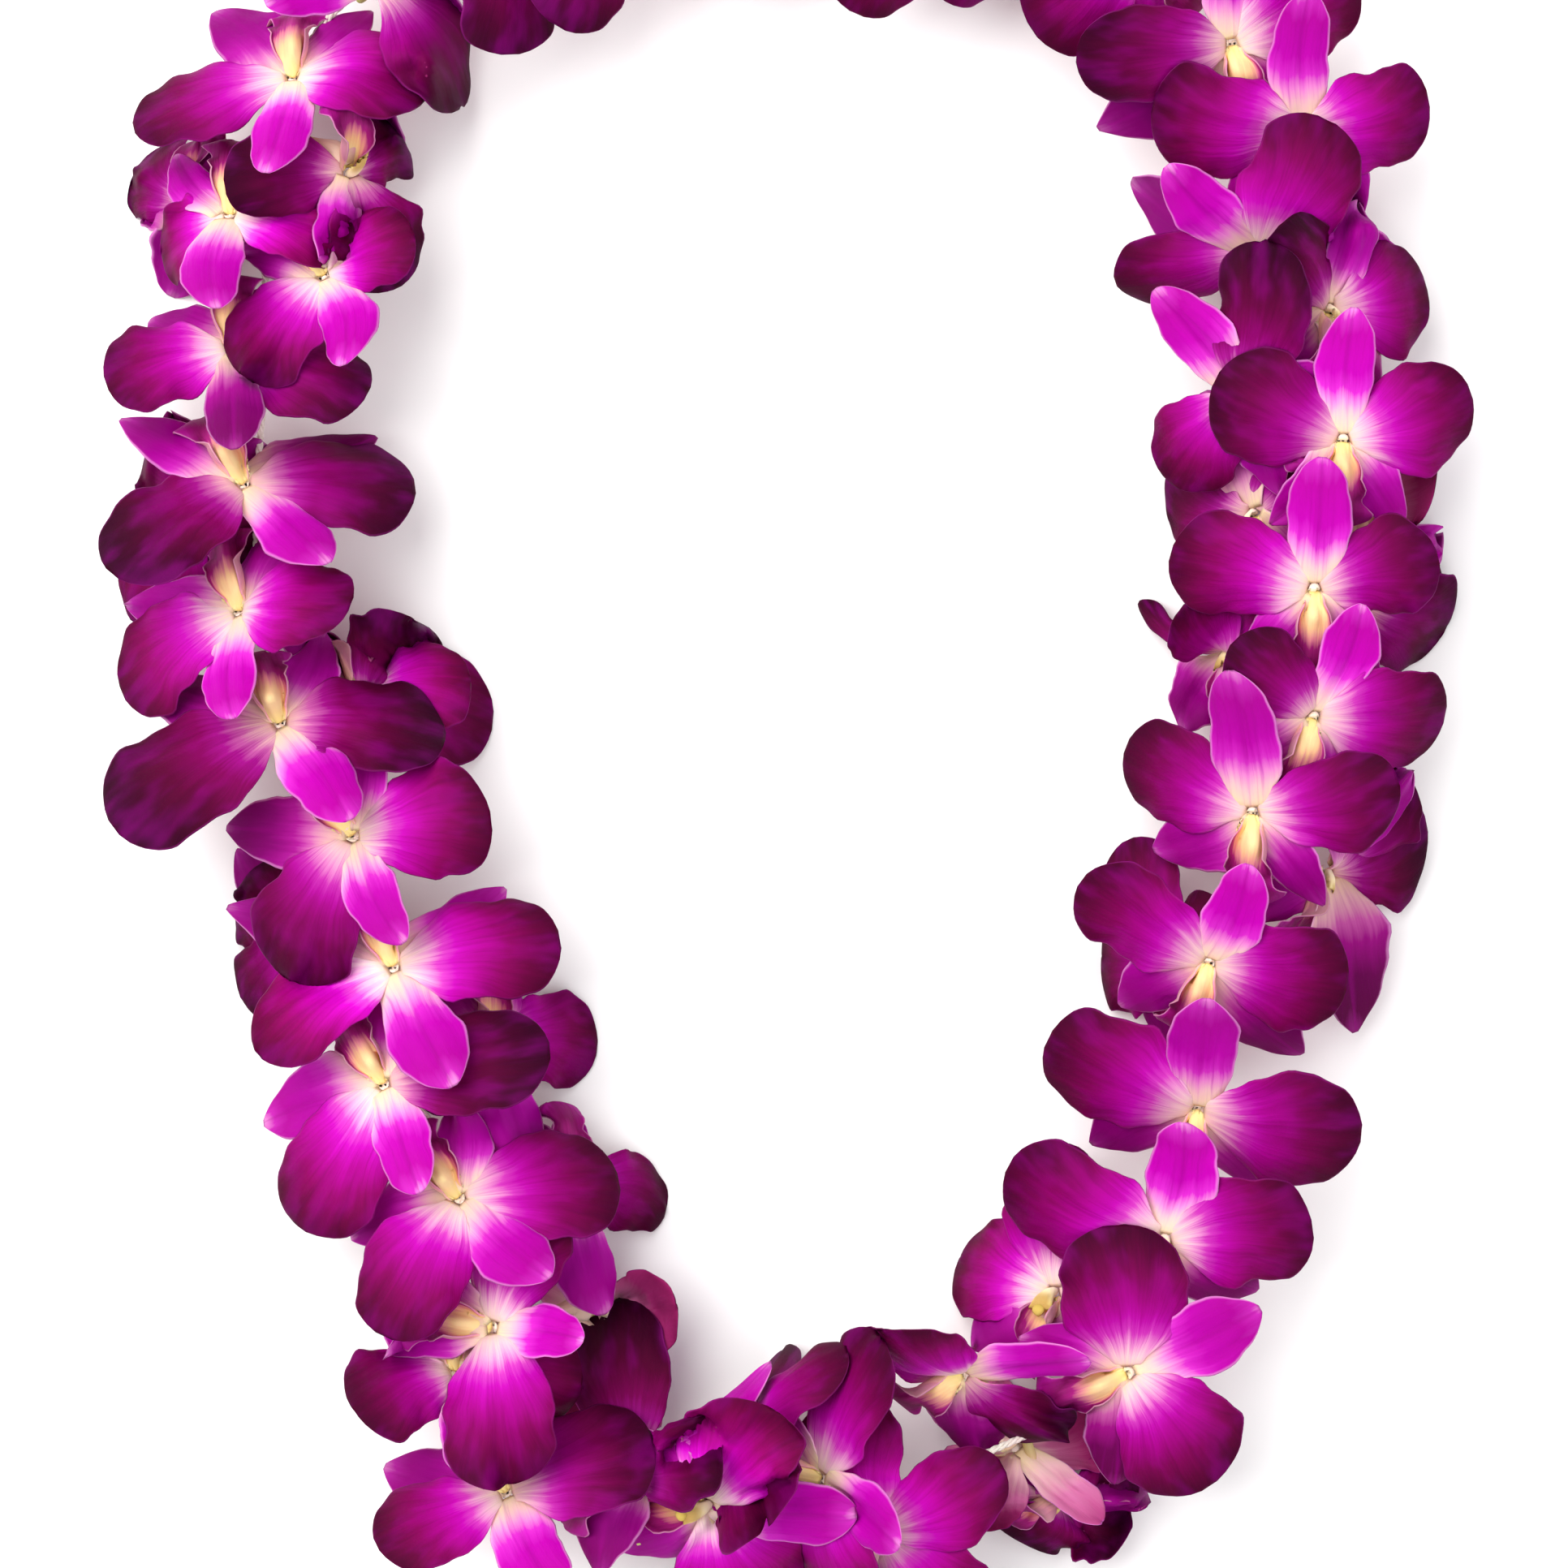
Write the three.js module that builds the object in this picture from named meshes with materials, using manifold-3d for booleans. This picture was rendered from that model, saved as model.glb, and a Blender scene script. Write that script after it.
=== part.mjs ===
// Fresh flower lei: one closed strand of dendrobium orchid blossoms threaded on a cotton string,
// lying flat on a surface. Millimetres, +Z up. The loop lies in XY with its long way along Y;
// the origin is the middle of the footprint, on the surface.
import * as THREE from "three";
import { mergeVertices } from "three/addons/utils/BufferGeometryUtils.js";
import Module from "manifold-3d";

// ---------- driving dimensions ----------
const STRING_DIAMETER = 1.6; // twisted cotton lei string
const STRING_HEIGHT = 21.0; // string centre above the surface
const STRING_STEPS = 60; // sections round the whole loop
const STRING_SIDES = 5;
const KNOT_RADIUS = 2.2; // overhand knot that closes the loop
const PETAL_THICKNESS = 1.5; // plain stand-in thickness of a petal
const PETAL_WIDTH = 24; // the two broad petals
const DORSAL_WIDTH = 13; // upright sepal
const LATERAL_WIDTH = 12; // two lower sepals
const NOTCH_RADIUS = 5.5; // where neighbouring tepals part
const CHIN_RADIUS = 3.3; // ovary and chin round the string
const THROAT_RADIUS = 3.6;
const LIP_RADIUS = 3.0;
const THROAT_SIDES = 4;
const GAP = 0.35; // air left between touching pieces

// Control points of the string loop, in its own plane, in stringing order.
const STRING_POINTS = [
  [-109.8, 123.55],
  [-113.09, 103.76],
  [-113.03, 83.65],
  [-113.25, 63.55],
  [-114.67, 43.49],
  [-114.72, 23.39],
  [-111.68, 3.53],
  [-105.75, -15.67],
  [-97.94, -34.2],
  [-90.08, -52.7],
  [-85.02, -72.16],
  [-79.16, -91.38],
  [-72.18, -110.25],
  [-66.11, -129.42],
  [-61.09, -148.89],
  [-52.9, -167.16],
  [-36.84, -178.56],
  [-16.96, -181.26],
  [3.07, -179.83],
  [22.42, -174.51],
  [40.93, -166.63],
  [58.69, -157.38],
  [71.27, -141.86],
  [78.11, -123.0],
  [82.7, -103.42],
  [86.77, -83.73],
  [90.21, -63.91],
  [95.93, -44.65],
  [102.95, -25.8],
  [108.37, -6.46],
  [110.92, 13.48],
  [112.79, 33.51],
  [113.75, 53.59],
  [112.57, 73.65],
  [109.71, 93.56],
  [106.55, 113.41],
  [99.11, 132.01],
  [86.83, 147.88],
  [70.86, 159.99],
  [52.33, 167.7],
  [32.71, 172.06],
  [12.69, 173.91],
  [-7.41, 173.74],
  [-27.41, 171.7],
  [-47.1, 167.63],
  [-66.3, 161.68],
  [-84.63, 153.45],
  [-100.44, 141.19],
];
const KNOT_AT = 52; // index along the string's sections

// One row per blossom: name, centre of its face [x, y, z], its turn as a quaternion [x, y, z, w]
// (blossom's own frame: +X its right, +Y its upright sepal, +Z out of its face), then the tips of
// upright sepal, left petal, right petal, left sepal, right sepal and lip in that own frame, and
// last the point of the string it is threaded on.
const BLOSSOMS = [
  ["side_blossom_01", [-93.94, 108.37, 22.0], [0.3776, -0.2136, 0.8894, -0.1445], [[0.2, 23.5, 11.7], [-22.0, 3.4, -4.2], [26.6, -4.1, -8.9], [-12.5, -17.0, -1.3], [12.2, 16.1, 3.9], [0.0, -11.6, 8.1]], [-112.25, 112.56, 21.0]],
  ["side_blossom_02", [-131.18, 104.23, 14.7], [-0.5048, -0.0213, 0.8161, 0.2805], [[2.4, 22.5, -6.9], [-19.3, 10.4, -4.2], [19.0, 2.6, 6.9], [-8.8, -17.0, -4.7], [14.1, -19.1, -1.5], [0.0, -13.1, 9.0]], [-113.18, 101.66, 21.0]],
  ["front_blossom_01", [-119.8, 99.75, 29.86], [-0.0114, 0.279, 0.9601, 0.0151], [[-0.1, 26.4, 2.3], [-25.8, 7.3, 0.7], [17.3, 2.3, -11.3], [-13.7, -18.6, -1.5], [13.7, -18.6, -1.5], [0.0, -12.7, 8.8]], [-113.25, 94.91, 21.0]],
  ["front_blossom_02", [-99.97, 86.48, 30.22], [-0.0888, 0.2303, 0.936, -0.2509], [[4.8, 25.6, 2.9], [-21.3, 4.0, 2.9], [25.1, 11.1, -1.5], [-13.6, -18.5, -1.5], [13.6, -18.5, -1.5], [-0.0, -12.7, 8.8]], [-113.01, 82.68, 21.0]],
  ["front_blossom_03", [-118.94, 70.96, 30.08], [0.0235, 0.2594, 0.9648, -0.0361], [[0.0, 27.2, 2.0], [-28.2, 11.5, -1.6], [26.8, 7.3, 0.8], [-13.8, -18.8, -1.5], [13.8, -18.8, -1.5], [-0.0, -12.9, 8.9]], [-113.13, 66.27, 21.0]],
  ["front_blossom_04", [-116.7, 42.17, 29.22], [0.1282, 0.3033, 0.9114, -0.2468], [[-4.0, 30.2, 4.2], [-33.8, 14.5, -1.6], [34.6, 7.1, -0.5], [-15.4, -20.9, -1.7], [15.3, -27.1, 2.2], [0.0, -14.3, 9.9]], [-114.97, 36.56, 21.0]],
  ["side_blossom_03", [-127.56, 40.79, 14.0], [-0.4981, -0.0331, 0.8319, 0.2424], [[0.0, 28.0, 2.0], [-19.8, 10.2, -4.2], [17.8, 7.8, 8.9], [-9.7, -17.7, -4.3], [14.2, -19.3, -1.5], [-0.0, -13.2, 9.2]], [-114.89, 38.97, 21.0]],
  ["front_blossom_05", [-118.08, 14.92, 29.11], [-0.2274, 0.2496, 0.9334, -0.1215], [[1.6, 27.7, 3.0], [-26.6, 8.6, 0.8], [30.4, 8.6, 1.0], [-14.3, -19.3, -1.5], [28.2, -13.3, 1.0], [0.0, -13.2, 9.2]], [-113.25, 11.24, 21.0]],
  ["side_blossom_04", [-92.22, -2.32, 17.0], [0.5152, 0.4267, 0.7368, -0.0974], [[-5.9, 24.3, 1.3], [-26.3, 11.1, 13.0], [4.5, 4.2, 19.2], [-2.9, -23.9, 0.2], [14.3, -19.4, -1.5], [0.0, -13.3, 9.2]], [-107.12, -11.91, 21.0]],
  ["front_blossom_06", [-108.94, -8.87, 29.66], [0.0535, 0.2915, 0.9409, -0.1639], [[-6.3, 30.7, 4.0], [-32.6, 13.3, -2.0], [40.1, 11.1, -3.0], [-15.8, -21.4, -1.7], [15.8, -21.4, -1.7], [0.0, -14.7, 10.2]], [-106.69, -13.13, 21.0]],
  ["front_blossom_07", [-93.42, -33.35, 31.01], [-0.1065, 0.1105, 0.9461, -0.2851], [[1.6, 27.0, 2.7], [-27.1, 14.4, -0.8], [28.7, 17.3, -1.8], [-14.4, -19.6, -1.5], [14.4, -19.6, -1.5], [0.0, -13.4, 9.3]], [-96.5, -37.3, 21.0]],
  ["side_blossom_05", [-105.15, -55.77, 14.0], [-0.4904, 0.0077, 0.8456, 0.2109], [[11.2, 20.9, 3.7], [-18.5, 9.3, -5.0], [20.9, -0.8, 10.5], [-11.1, -18.5, -3.5], [21.0, -9.6, 13.1], [0.0, -13.2, 9.1]], [-89.29, -55.18, 21.0]],
  ["front_blossom_08", [-84.8, -60.94, 30.41], [0.0139, 0.2275, 0.9527, -0.2011], [[-1.7, 31.4, 1.8], [-34.7, 8.3, 1.4], [33.2, 6.5, 1.3], [-15.4, -20.8, -1.6], [15.4, -20.8, -1.6], [-0.0, -14.3, 9.9]], [-86.63, -65.45, 21.0]],
  ["side_blossom_06", [-64.63, -78.18, 15.0], [0.415, 0.0772, 0.8978, -0.1259], [[-0.0, 28.2, 2.1], [-24.1, 7.8, 7.5], [18.8, 6.8, -7.2], [-14.4, -19.5, -1.5], [14.4, -19.5, -1.5], [0.0, -13.3, 9.2]], [-81.75, -83.64, 21.0]],
  ["front_blossom_09", [-87.04, -85.94, 30.5], [-0.1012, 0.1937, 0.9383, -0.2679], [[3.2, 26.8, 3.8], [-34.5, 13.2, -2.0], [31.9, 15.2, -2.3], [-15.1, -20.5, -1.6], [24.6, -15.0, -3.2], [0.0, -14.0, 9.7]], [-80.51, -87.47, 21.0]],
  ["front_blossom_10", [-70.66, -110.08, 30.25], [0.0958, 0.2246, 0.9144, -0.3227], [[-2.7, 27.8, 3.6], [-30.3, 16.7, -2.3], [30.4, 13.5, -1.7], [-14.8, -20.0, -1.6], [18.1, -16.1, -4.4], [0.0, -13.7, 9.5]], [-70.78, -114.24, 21.0]],
  ["side_blossom_07", [-47.39, -110.08, 16.0], [0.3986, 0.0969, 0.9091, -0.0719], [[0.0, 27.7, 2.0], [-24.4, 7.9, 5.0], [18.3, 5.5, -7.7], [-10.8, -18.4, -5.3], [14.1, -19.1, -1.5], [1.9, -12.7, 6.9]], [-69.71, -117.45, 21.0]],
  ["front_blossom_11", [-63.77, -137.66, 30.45], [-0.0198, 0.2222, 0.7301, -0.6459], [[1.2, 24.0, 6.4], [-27.8, 7.0, 1.0], [32.2, 8.2, -0.7], [-14.0, -19.0, -1.5], [8.1, -22.6, 1.6], [-0.0, -13.0, 9.0]], [-63.19, -140.97, 21.0]],
  ["side_blossom_08", [-42.22, -138.52, 12.0], [0.8703, 0.2522, 0.4193, -0.0569], [[-0.0, 27.4, 2.0], [-23.7, 11.7, -10.7], [21.3, 5.8, 6.0], [-12.6, -19.6, -3.3], [13.9, -18.9, -1.5], [0.0, -12.9, 9.0]], [-62.19, -144.87, 21.0]],
  ["front_blossom_12", [-71.53, -147.14, 29.82], [0.034, 0.2812, 0.9566, -0.0682], [[0.0, 25.9, 1.9], [-26.1, 6.6, 0.9], [21.9, 8.9, 6.0], [-13.2, -17.9, -1.4], [13.2, -17.9, -1.4], [-0.0, -12.2, 8.5]], [-61.07, -148.93, 21.0]],
  ["front_blossom_13", [-60.84, -172.66, 29.0], [0.0011, 0.3449, 0.9111, -0.2256], [[-0.7, 29.6, 1.3], [-32.4, 5.2, 3.5], [28.7, 0.6, 6.5], [-14.5, -19.7, -1.6], [14.5, -19.7, -1.6], [0.0, -13.5, 9.3]], [-50.59, -169.84, 21.0]],
  ["side_blossom_09", [-34.46, -168.7, 19.0], [-0.2309, -0.3107, -0.371, 0.8441], [[2.5, 37.4, 1.7], [-31.2, 19.6, 10.9], [19.8, 16.5, 12.1], [-14.5, -19.7, -1.6], [14.5, -19.7, -1.6], [-0.0, -13.5, 9.3]], [-32.48, -179.8, 21.0]],
  ["front_blossom_14", [-18.08, -176.11, 30.24], [-0.2013, -0.1399, 0.6951, -0.6759], [[-1.5, 32.1, 1.0], [-25.9, 14.8, 2.0], [28.8, 14.0, 0.3], [-14.6, -19.8, -1.6], [14.6, -19.8, -1.6], [0.0, -13.6, 9.4]], [-17.39, -181.25, 21.0]],
  ["front_blossom_15", [-12.04, -164.39, 27.3], [-0.069, -0.5144, -0.4616, 0.7194], [[-3.3, 34.0, 3.6], [-27.0, 10.1, -4.8], [29.1, 7.3, 1.0], [-14.6, -19.9, -1.6], [14.6, -19.9, -1.6], [0.0, -13.6, 9.4]], [-4.98, -180.83, 21.0]],
  ["front_blossom_16", [5.72, -170.42, 28.33], [-0.3383, 0.191, 0.7103, -0.587], [[3.8, 27.5, 5.0], [-35.0, 8.8, -2.3], [28.9, 11.0, -2.6], [-14.8, -20.1, -1.6], [14.8, -20.1, -1.6], [0.0, -13.7, 9.5]], [14.39, -177.19, 21.0]],
  ["front_blossom_17", [18.13, -181.63, 30.75], [0.1267, -0.1405, -0.4849, 0.8539], [[0.7, 32.4, 0.5], [-28.7, 7.2, 1.0], [28.7, 7.2, 1.0], [-14.5, -19.6, -1.6], [14.5, -19.6, -1.6], [-0.0, -13.4, 9.3]], [19.61, -175.52, 21.0]],
  ["front_blossom_18", [36.23, -148.87, 27.54], [0.4239, 0.095, -0.4336, 0.7894], [[3.7, 31.3, 1.6], [-26.1, 2.9, 6.4], [27.9, 7.0, 1.0], [-14.1, -19.1, -1.5], [14.1, -19.1, -1.5], [-0.0, -13.1, 9.0]], [48.1, -163.48, 21.0]],
  ["side_blossom_10", [48.13, -166.63, 16.2], [0.8487, 0.3453, -0.2003, 0.347], [[0.9, 25.3, 3.0], [-20.5, 2.5, 6.2], [23.8, 6.8, 3.2], [-13.2, -18.0, -1.4], [12.9, -18.1, -2.7], [0.0, -12.3, 8.5]], [50.14, -162.52, 21.0]],
  ["side_blossom_11", [58.13, -177.83, 14.0], [-0.2022, -0.5506, 0.7009, -0.4059], [[-3.2, 23.2, 0.4], [-18.9, 6.2, 3.2], [20.1, -1.7, 5.0], [-5.9, -14.9, -7.7], [13.2, -17.9, -1.4], [-0.0, -12.2, 8.5]], [52.43, -161.35, 21.0]],
  ["front_blossom_19", [71.58, -147.66, 31.29], [0.0929, -0.0356, -0.5522, 0.8278], [[-2.9, 31.5, 1.4], [-30.5, 9.3, 0.6], [28.7, 6.9, 1.1], [-14.6, -19.8, -1.6], [22.3, -12.8, -2.6], [-0.0, -13.5, 9.4]], [69.73, -144.62, 21.0]],
  ["side_blossom_12", [56.06, -131.63, 20.0], [-0.1709, -0.3144, -0.0646, 0.9316], [[-0.0, 27.4, 2.0], [-27.4, 6.7, 0.8], [21.2, 9.9, -6.9], [-13.9, -18.9, -1.5], [9.3, -16.8, -7.2], [-4.3, -13.2, 5.3]], [72.1, -140.21, 21.0]],
  ["front_blossom_20", [79.34, -119.56, 30.7], [0.1852, -0.0622, -0.0678, 0.9784], [[0.1, 29.3, 2.2], [-34.9, 11.0, 0.2], [30.4, 8.2, 0.7], [-30.8, -4.3, -6.4], [15.0, -20.4, -1.6], [0.0, -13.9, 9.7]], [79.81, -116.21, 21.0]],
  ["front_blossom_21", [86.41, -92.32, 29.52], [0.2907, -0.0985, -0.0832, 0.9481], [[-2.7, 31.0, 2.0], [-34.0, 8.6, 1.0], [34.4, 4.5, 2.7], [-15.3, -20.8, -1.6], [21.9, -20.9, -2.7], [-0.0, -14.2, 9.9]], [86.15, -87.13, 21.0]],
  ["side_blossom_13", [81.92, -60.94, 13.0], [0.0559, -0.5181, 0.1599, 0.8384], [[0.0, 27.7, 2.0], [-16.2, 5.9, 8.1], [16.7, 8.0, -4.8], [-13.8, -19.4, -1.3], [13.0, -19.1, -2.1], [-0.0, -13.1, 9.1]], [91.36, -59.14, 21.0]],
  ["front_blossom_22", [88.82, -60.94, 29.72], [0.2824, -0.0712, -0.1561, 0.9438], [[0.0, 27.7, 2.4], [-31.3, 7.9, 0.7], [28.5, 7.3, 1.0], [-14.4, -19.5, -1.5], [14.4, -19.5, -1.5], [-0.0, -13.4, 9.3]], [92.04, -56.66, 21.0]],
  ["side_blossom_14", [116.41, -41.97, 15.0], [0.1912, 0.5762, -0.3264, 0.7245], [[-0.8, 28.6, -1.6], [-12.8, 25.7, 0.9], [11.9, 24.2, 3.9], [-9.2, -20.7, -3.5], [19.4, -11.8, 17.9], [-0.0, -14.6, 10.1]], [100.49, -32.52, 21.0]],
  ["front_blossom_23", [97.96, -28.7, 30.24], [0.1507, -0.1931, -0.0007, 0.9695], [[-3.5, 32.0, 2.7], [-28.5, 12.5, -1.0], [31.2, 8.8, -0.1], [-14.9, -20.2, -1.6], [14.9, -20.2, -1.6], [0.0, -13.8, 9.5]], [102.66, -26.63, 21.0]],
  ["front_blossom_24", [111.23, -8.35, 30.41], [0.1831, 0.1365, -0.1745, 0.9578], [[-1.7, 27.1, 1.3], [-23.3, 9.9, 1.4], [28.4, 9.5, 0.5], [-13.7, -18.7, -1.5], [13.7, -18.7, -1.5], [0.0, -12.8, 8.8]], [108.71, -4.63, 21.0]],
  ["side_blossom_15", [94.85, 6.3, 14.0], [0.0552, -0.5346, 0.065, 0.8408], [[5.0, 2.3, 15.3], [-18.6, 13.0, 11.6], [14.9, 7.4, -6.4], [-12.8, -19.7, -0.7], [13.4, -18.9, -1.7], [0.0, -12.9, 8.9]], [110.27, 7.01, 21.0]],
  ["side_blossom_16", [123.3, 15.79, 15.0], [0.216, 0.5329, -0.386, 0.7213], [[-1.0, 25.1, -1.9], [-12.1, 18.8, 1.6], [16.5, 14.7, 12.1], [-9.8, -19.9, -3.5], [15.1, -20.5, -1.6], [0.0, -14.0, 9.7]], [111.84, 22.88, 21.0]],
  ["front_blossom_25", [111.23, 18.89, 30.8], [0.1752, -0.0508, -0.0, 0.9832], [[1.0, 29.4, 1.4], [-30.4, 7.5, 1.1], [25.7, 7.4, 1.2], [-14.2, -19.3, -1.5], [14.2, -19.3, -1.5], [0.0, -13.2, 9.1]], [111.76, 22.08, 21.0]],
  ["side_blossom_17", [99.16, 35.61, 18.0], [0.1054, -0.4991, 0.1395, 0.8487], [[0.0, 28.4, 2.1], [-20.5, 15.3, 3.1], [12.1, 14.1, -8.7], [-14.5, -19.7, -1.6], [10.8, -19.8, -3.6], [0.0, -13.4, 9.3]], [113.13, 37.94, 21.0]],
  ["side_blossom_18", [125.03, 40.79, 12.0], [0.1229, 0.8554, -0.0434, 0.5013], [[-0.0, 27.7, 2.0], [-18.1, 5.8, 6.2], [20.8, 14.0, -14.3], [-14.1, -19.1, -1.5], [12.5, -20.0, -2.9], [0.0, -13.1, 9.1]], [113.43, 42.76, 21.0]],
  ["front_blossom_26", [117.27, 50.61, 31.17], [0.1225, -0.0225, -0.0233, 0.9919], [[0.1, 28.7, 1.8], [-27.8, 11.5, -0.1], [26.2, 11.2, 0.0], [-14.1, -19.2, -1.5], [14.1, -19.2, -1.5], [0.0, -13.1, 9.1]], [113.75, 52.73, 21.0]],
  ["front_blossom_27", [95.72, 60.61, 30.51], [0.0504, -0.2113, 0.4468, 0.8679], [[7.1, 28.2, -1.2], [-25.8, 2.4, -0.7], [29.5, 14.5, 1.4], [-14.3, -19.4, -1.5], [14.3, -19.4, -1.5], [-0.0, -13.3, 9.2]], [113.44, 63.99, 21.0]],
  ["side_blossom_19", [115.54, 79.06, 24.0], [-0.0075, 0.3969, -0.1687, 0.9022], [[-1.4, 24.8, 0.0], [-25.5, 9.1, 3.4], [27.7, 6.2, 1.3], [-13.8, -18.7, -1.5], [13.8, -18.7, -1.5], [0.0, -12.8, 8.8]], [111.66, 80.46, 21.0]],
  ["front_blossom_28", [100.03, 91.13, 29.55], [0.2677, -0.1456, 0.3123, 0.8998], [[-2.4, 29.6, 2.9], [-29.6, 12.0, -0.9], [28.4, 14.5, -2.0], [-20.9, 18.5, -16.7], [14.6, -19.9, -1.6], [0.0, -13.6, 9.4]], [109.21, 97.35, 21.0]],
  ["front_blossom_29", [108.82, 116.82, 30.54], [0.2139, -0.0129, -0.0013, 0.9768], [[0.1, 30.0, 1.3], [-31.8, 6.0, 1.7], [26.3, 6.7, 1.3], [-14.4, -19.6, -1.5], [14.4, -19.6, -1.5], [-0.0, -13.4, 9.3]], [104.86, 119.23, 21.0]],
  ["front_blossom_30", [93.99, 134.75, 30.25], [0.2215, 0.1013, 0.1251, 0.9618], [[2.0, 30.0, 2.0], [-33.4, 6.7, 0.8], [29.5, 7.4, 1.1], [-28.1, -18.9, -4.3], [14.8, -20.1, -1.6], [0.0, -13.8, 9.5]], [93.77, 140.01, 21.0]],
  ["front_blossom_31", [74.29, 154.66, 31.31], [0.2366, 0.0544, 0.4208, 0.8741], [[-0.0, 27.0, 2.0], [-27.3, 6.9, 1.0], [27.3, 6.9, 1.0], [-13.7, -18.6, -1.5], [13.7, -18.6, -1.5], [0.0, -12.7, 8.8]], [72.28, 159.17, 21.0]],
  ["side_blossom_20", [48.22, 161.61, 15.0], [0.5871, -0.5569, 0.4559, 0.3705], [[0.0, 27.0, 2.0], [-17.7, 14.6, -16.2], [13.3, 8.8, 6.5], [-13.7, -18.6, -1.5], [9.2, -18.3, 0.0], [0.0, -12.7, 8.8]], [46.93, 169.2, 21.0]],
  ["front_blossom_32", [48.97, 169.0, 30.38], [0.2174, 0.1137, 0.548, 0.7997], [[-0.0, 27.9, 2.0], [-28.2, 7.1, 1.0], [28.2, 7.1, 1.0], [-14.2, -19.3, -1.5], [14.2, -19.3, -1.5], [-0.0, -13.2, 9.1]], [44.9, 169.7, 21.0]],
  ["front_blossom_33", [21.43, 168.4, 31.48], [0.2261, 0.1791, 0.6747, 0.6794], [[-0.0, 27.4, 2.0], [-27.1, 6.9, 1.0], [27.7, 7.0, 1.0], [-14.0, -18.9, -1.5], [14.0, -18.9, -1.5], [-0.0, -13.0, 9.0]], [16.73, 173.71, 21.0]],
  ["front_blossom_34", [-5.68, 178.39, 30.7], [0.1626, 0.137, 0.7128, 0.6684], [[0.0, 29.0, 2.1], [-29.3, 7.4, 1.1], [28.1, 7.4, 1.1], [-14.7, -20.0, -1.6], [14.7, -20.0, -1.6], [0.0, -13.7, 9.5]], [-9.16, 173.64, 21.0]],
  ["front_blossom_35", [-35.84, 170.24, 30.29], [0.1224, 0.1985, 0.6542, 0.7195], [[-0.0, 28.5, 2.1], [-28.8, 7.2, 1.0], [28.8, 7.2, 1.0], [-14.5, -19.7, -1.6], [14.5, -19.7, -1.6], [0.0, -13.5, 9.3]], [-39.88, 169.35, 21.0]],
  ["front_blossom_36", [-63.5, 167.93, 30.4], [0.1232, 0.2658, 0.7095, 0.6409], [[-0.0, 28.9, 2.1], [-29.2, 7.4, 1.1], [26.7, 6.7, 0.9], [-14.7, -20.0, -1.6], [14.7, -20.0, -1.6], [0.0, -13.7, 9.5]], [-66.6, 161.57, 21.0]],
  ["side_blossom_21", [-65.32, 169.46, 15.0], [0.6114, -0.4947, -0.3565, -0.5043], [[0.0, 26.9, 2.0], [-14.7, 10.4, 4.2], [18.0, -20.5, 6.7], [-6.2, -16.5, 0.4], [13.7, -18.6, -1.5], [0.0, -12.7, 8.8]], [-66.29, 161.69, 21.0]],
  ["front_blossom_37", [-88.35, 149.61, 30.81], [0.166, 0.2381, 0.7886, 0.5422], [[-0.0, 28.1, 2.0], [-30.0, -16.3, -8.0], [28.4, 7.1, 1.0], [-14.3, -19.4, -1.5], [14.3, -19.4, -1.5], [0.0, -13.3, 9.2]], [-93.18, 147.94, 21.0]],
  ["front_blossom_38", [-106.53, 129.06, 29.42], [-0.0899, 0.3013, 0.9493, -0.0078], [[2.2, 29.0, 2.9], [-29.7, 6.3, 1.9], [34.1, 10.2, 0.0], [-14.9, -20.3, -1.6], [14.9, -20.3, -1.6], [0.0, -13.9, 9.6]], [-109.2, 125.39, 21.0]],
];

// ---------- solids ----------
const wasm = await Module();
wasm.setup();

function toSolid(geometry) {
  let g = geometry.clone();
  g.deleteAttribute("normal");
  g.deleteAttribute("uv");
  g = mergeVertices(g, 1e-4);
  return new wasm.Manifold(
    new wasm.Mesh({
      numProp: 3,
      vertProperties: new Float32Array(g.attributes.position.array),
      triVerts: new Uint32Array(g.index.array),
    }),
  );
}

function toGeometry(solid) {
  const m = solid.getMesh();
  const v = new Float32Array(m.numVert * 3);
  for (let i = 0; i < m.numVert; i++)
    v.set(m.vertProperties.subarray(i * m.numProp, i * m.numProp + 3), i * 3);
  const g = new THREE.BufferGeometry();
  g.setAttribute("position", new THREE.BufferAttribute(v, 3));
  g.setIndex(new THREE.BufferAttribute(new Uint32Array(m.triVerts), 1));
  return g;
}

function closedGeometry(points, faces) {
  const g = new THREE.BufferGeometry();
  g.setAttribute("position", new THREE.Float32BufferAttribute(points.flat(), 3));
  g.setIndex(faces.flat());
  return g;
}

// Rings of points of equal count skinned one to the next; capped at both ends, or closed on itself.
function skin(rings, loop) {
  const n = rings[0].length;
  const points = rings.flat();
  const faces = [];
  const last = loop ? rings.length : rings.length - 1;
  for (let r = 0; r < last; r++) {
    const a = r * n;
    const b = ((r + 1) % rings.length) * n;
    for (let i = 0; i < n; i++) {
      const j = (i + 1) % n;
      faces.push([a + i, a + j, b + j], [a + i, b + j, b + i]);
    }
  }
  if (!loop) {
    const e = (rings.length - 1) * n;
    for (let i = 1; i + 1 < n; i++) {
      faces.push([0, i + 1, i], [e, e + i, e + i + 1]);
    }
  }
  return closedGeometry(points, faces);
}

// The string's centre line, a smooth closed curve.
const curve = new THREE.CatmullRomCurve3(
  STRING_POINTS.map(([x, y]) => new THREE.Vector3(x, y, STRING_HEIGHT)),
  true,
  "centripetal",
);
const stringSections = curve.getSpacedPoints(STRING_STEPS).slice(0, STRING_STEPS);

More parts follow.
